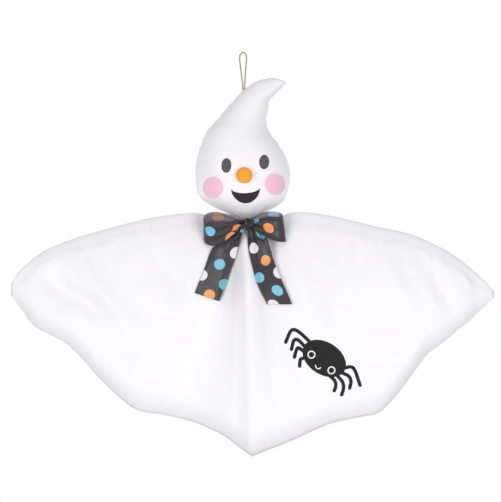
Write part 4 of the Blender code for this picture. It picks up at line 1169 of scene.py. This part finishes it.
def band_part():
    """The ribbon round the neck, crushed to a third of its width."""
    rows, columns = 13, 96
    vertices = []
    for row in range(rows):
        s = 2 * row / (rows - 1) - 1
        for column in range(columns):
            turn = 2 * pi * column / columns
            wave = 0.45 * cos(4.5 * pi * s + 0.9 * sin(2 * turn)) + 0.2 * cos(7 * turn + 3 * s)
            reach = BAND_RADIUS + (0.35 + 0.5 * wave) * MM
            z = NECK_Z - BAND_DROP + s * BAND_HEIGHT / 2 + 0.5 * MM * sin(2 * turn)
            vertices.append(Vector((NECK_X + reach * cos(turn), reach * sin(turn), z)))
    return vertices, grid_faces(rows, columns, True)


def ribbon_materials():
    """The black ribbon and its four dots, on the printed side and then on the reverse, which is paler both as
    a real duller back and as painted sheen.
    """
    return [
        ribbon_satin("black_ribbon_satin", "#1B171B", "#2D282D"),
        ribbon_satin("orange_printed_dots", "#E8924A", "#F0A25C"),
        ribbon_satin("blue_printed_dots", "#6FBBD8", "#82C8E2"),
        ribbon_satin("teal_printed_dots", "#4FA9B6", "#66B9C2"),
        ribbon_satin("white_printed_dots", "#E2E1E6", "#EDECF1"),
        # The reverse colours: a duller back of single-face satin, painted lighter lilac grey with faded dots
        # to stand in for sheen
        ribbon_satin("lilac_grey_reverse_and_painted_sheen", "#7B7482", "#938B9B"),
        ribbon_satin("faded_orange_reverse_and_painted_sheen", "#B98A6F", "#CB9C80"),
        ribbon_satin("faded_blue_reverse_and_painted_sheen", "#93B4C9", "#A9C6D8"),
        ribbon_satin("faded_teal_reverse_and_painted_sheen", "#7C9EA8", "#8FB0B8"),
        ribbon_satin("faded_white_reverse_and_painted_sheen", "#C9C5D0", "#D6D2DC"),
    ]


def make_bow(surfaces):
    """One piece of the strips, the knot and the band, the printed side of each turned outwards."""
    vertices, faces, slots, total = [], [], [], 0
    strips = (
        (LEFT_LOOP, LEFT_LOOP_DOTS, 0), (RIGHT_LOOP, RIGHT_LOOP_DOTS, 0),
        (tail_stations(LEFT_TAIL, surfaces[0]), LEFT_TAIL_DOTS, TAIL_SETTLED),
        (tail_stations(RIGHT_TAIL, surfaces[0]), RIGHT_TAIL_DOTS, TAIL_SETTLED),
    )
    for stations, dots, settled in strips:
        more_vertices, more_faces, more_slots, length = make_strip(stations, dots, surfaces, settled)
        # The left loop runs the other way round
        if stations is LEFT_LOOP:
            more_faces = [face[::-1] for face in more_faces]
        vertices, faces = join([(vertices, faces), (more_vertices, more_faces)])
        slots += more_slots
        total += length
    for more_vertices, more_faces in (knot_part(), band_part()):
        more_faces = [face[::-1] for face in more_faces]
        vertices, faces = join([(vertices, faces), (more_vertices, more_faces)])
        slots += [0] * len(more_faces)
    bow = make_piece("bow_ribbon", vertices, faces, ribbon_materials(), slots)
    # The offset side takes the reverse colours, partly painted sheen
    thicken(bow, SATIN_RIBBON).material_offset = len(COLOURS)
    return bow, total + pi * KNOT_HEIGHT + 2 * pi * BAND_RADIUS


# Spider patch


def make_spider(surface):
    """An oval body with eight legs, and eyes and a smile printed on it."""
    black = felt("near_black_felt", "#100F0F", "#1D1B1C")
    white = felt("white_print", "#F2F2F2", "#F7F7F7")
    centre = Vector((NECK_X + SPIDER_AT[0], NECK_Z + SPIDER_AT[1]))

    def at(share):
        return centre + Vector(share) * SPIDER_LENGTH

    outlines = [circle(centre, SPIDER_LENGTH / 2, SPIDER_HEIGHT / 2, 110, SPIDER_TILT)]
    for leg in SPIDER_LEGS:
        line = curve_through([(*at(share), 0) for share in leg], 22)
        outlines.append(stroke([spot.to_2d() for spot in line], LEG_WIDTH))
    marks = [
        (circle(at(eye), RING_RADIUS, RING_RADIUS, 32), circle(at(eye), RING_HOLE, RING_HOLE, 26), 1)
        for eye in SPIDER_EYES
    ]
    smile = curve_through([(*at(share), 0) for share in SPIDER_SMILE], 12)
    marks.append((stroke([spot.to_2d() for spot in smile], SMILE_WIDTH), None, 1))
    return felt_patch("spider_felt", outlines, marks, surface, 1.3 * MM, [black, white])


# Light, floor and camera

VIEW_X = 7.4 * MM  # of the picture's middle, level with the camera
VIEW_Z = -198 * MM
LENS = 200.0  # in mm, long enough to flatten the view as in the photograph
IMAGE_HEIGHT = 502 * MM  # what the photograph's height spans at the ghost
MIDDLE = Vector((0, 0, -0.22))
FLOOR_RADIUS = 0.5
FLOOR_Z = -0.6


def add_lamp(name, place, size, power):
    """A round soft lamp that points at the ghost's middle."""
    data = bpy.data.lights.new(name, "AREA")
    data.shape = "DISK"
    data.size = size
    data.energy = power
    lamp = bpy.data.objects.new(name, data)
    lamp.location = place
    lamp.rotation_euler = (MIDDLE - Vector(place)).to_track_quat("-Z", "Y").to_euler()
    bpy.context.scene.collection.objects.link(lamp)


def background_rays(tree):
    """1 for the rays that show the background itself, 0 for those that light the object."""
    path = add_node(tree, "ShaderNodeLightPath")
    seen = add_node(
        tree, "ShaderNodeMath", links={0: path.outputs["Is Camera Ray"], 1: path.outputs["Is Glossy Ray"]},
        operation="MAXIMUM",
    )
    clear = add_node(
        tree, "ShaderNodeMath", links={0: seen.outputs["Value"], 1: path.outputs["Is Transmission Ray"]},
        operation="MAXIMUM",
    )
    return clear.outputs["Value"]


def make_background():
    """White where it is seen, and a softer light on the object."""
    world = bpy.data.worlds.new("studio")
    world.use_nodes = True
    bpy.context.scene.world = world
    tree = world.node_tree
    tree.nodes.clear()
    light = add_node(tree, "ShaderNodeBackground", {"Color": linear("#F3F2F4"), "Strength": 0.53})
    white = add_node(tree, "ShaderNodeBackground", {"Color": (1, 1, 1, 1), "Strength": 1.0})
    mixed = add_node(
        tree, "ShaderNodeMixShader",
        links={0: background_rays(tree), 1: light.outputs["Background"], 2: white.outputs["Background"]},
    )
    add_node(tree, "ShaderNodeOutputWorld", links={"Surface": mixed.outputs["Shader"]})


def make_floor():
    """A round of pale matt paper below the ghost, with coarse fibres."""
    paper, tree, shader, place = new_material("pale_paper_floor", Roughness=0.9)
    fibres = add_node(tree, "ShaderNodeTexNoise", {"Scale": 300, "Detail": 3}, {"Vector": place})
    colour_between(tree, shader, linear("#F6F6F6"), linear("#FAFAFA"), fibres.outputs["Fac"])
    # The lamps hardly reach the floor, so it is lightened where it is seen, and keeps its shadow
    lightened = add_node(tree, "ShaderNodeMath", {1: 0.42}, {0: background_rays(tree)}, operation="MULTIPLY")
    shader.inputs["Emission Color"].default_value = (1, 1, 1, 1)
    tree.links.new(lightened.outputs["Value"], shader.inputs["Emission Strength"])
    rim = [Vector((*spot, FLOOR_Z)) for spot in circle((0, 0), FLOOR_RADIUS, FLOOR_RADIUS, 96)]
    make_piece("floor", rim, [tuple(range(len(rim)))], [paper])


def place_camera():
    """A long lens straight in front, as in the photograph."""
    camera = bpy.data.objects.new("camera", bpy.data.cameras.new("camera"))
    bpy.context.scene.collection.objects.link(camera)
    camera.data.lens = LENS
    camera.location = (VIEW_X, -IMAGE_HEIGHT * LENS / camera.data.sensor_width, VIEW_Z)
    camera.rotation_euler = (pi / 2, 0, 0)
    bpy.context.scene.camera = camera
    bpy.context.scene.view_settings.view_transform = "Standard"


def make_face(on_head):
    """Eyes, cheeks, mouth and nose, laid on the head's cover."""
    dark = felt("dark_grey_felt", "#4F4546", "#675C5D")
    pink = felt("pink_felt", "#F8C0D6", "#FCD0E0")
    black = felt("black_felt", "#171516", "#272425")
    orange = felt("orange_felt", "#FA9E22", "#FFB23C")
    for name, share in (("left_eye", LEFT_EYE), ("right_eye", RIGHT_EYE)):
        outline = circle(in_head(share), EYE_WIDTH / 2, EYE_HEIGHT / 2, 52, -FACE_TILT)
        dress(felt_patch(name + "_felt", [outline], [], on_head, 1.0 * MM, [dark]), name)
    for name, share in (("left_cheek", LEFT_CHEEK), ("right_cheek", RIGHT_CHEEK)):
        outline = circle(in_head(share), CHEEK_WIDTH / 2, CHEEK_HEIGHT / 2, 80)
        cheek = felt_patch(name + "_felt", [outline], [], on_head, 1.2 * MM, [pink])
        dress(cheek, name)
    mouth = felt_patch("mouth_felt", [mouth_outline()], [], on_head, 1.0 * MM, [black])
    dress(mouth, "mouth")
    nose = make_nose(on_head, orange)
    dress(nose, "nose")


def cloth_area():
    """Area of the drape's front and back, laid flat."""
    tops = column_tops()
    area = 0
    for before, after in zip(tops, tops[1:]):
        u = (before + after) / 2
        area += 2 * (after - before) * (shoulder_z(u) - hem_z(column_foot(u)))
    return area


def main():
    """Lights the scene, makes every piece in place and says what each stands for."""
    add_lamp("key", (1.3, -2.4, -0.3), 1.5, 27)
    add_lamp("fill", (-1.5, -2.1, -0.2), 1.5, 20.5)
    add_lamp("left rim", (-1.7, 1.3, -0.5), 0.8, 6)
    add_lamp("right rim", (1.4, 1.7, -0.4), 0.8, 4)
    make_background()
    make_floor()
    place_camera()

    satin = white_satin()
    head = make_head(satin)
    dress(head, "head")
    on_head = surface_of(head)
    make_face(on_head)

    loop, line = make_loop(on_head)
    dress(loop, "hanging_loop")

    drape, hem, seam = make_drape(satin)
    dress(drape, "drape")
    trim(hem)
    trim(seam)
    cloth_area()
    on_drape = surface_of(drape)

    dress(make_spider(on_drape), "spider_patch")

    bow, length = make_bow([on_drape, on_head])
    dress(bow, "ribbon_bow")

    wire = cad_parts["arm_wire"]
    wire.data.materials.clear()
    wire.data.materials.append(drawn_steel())


main()
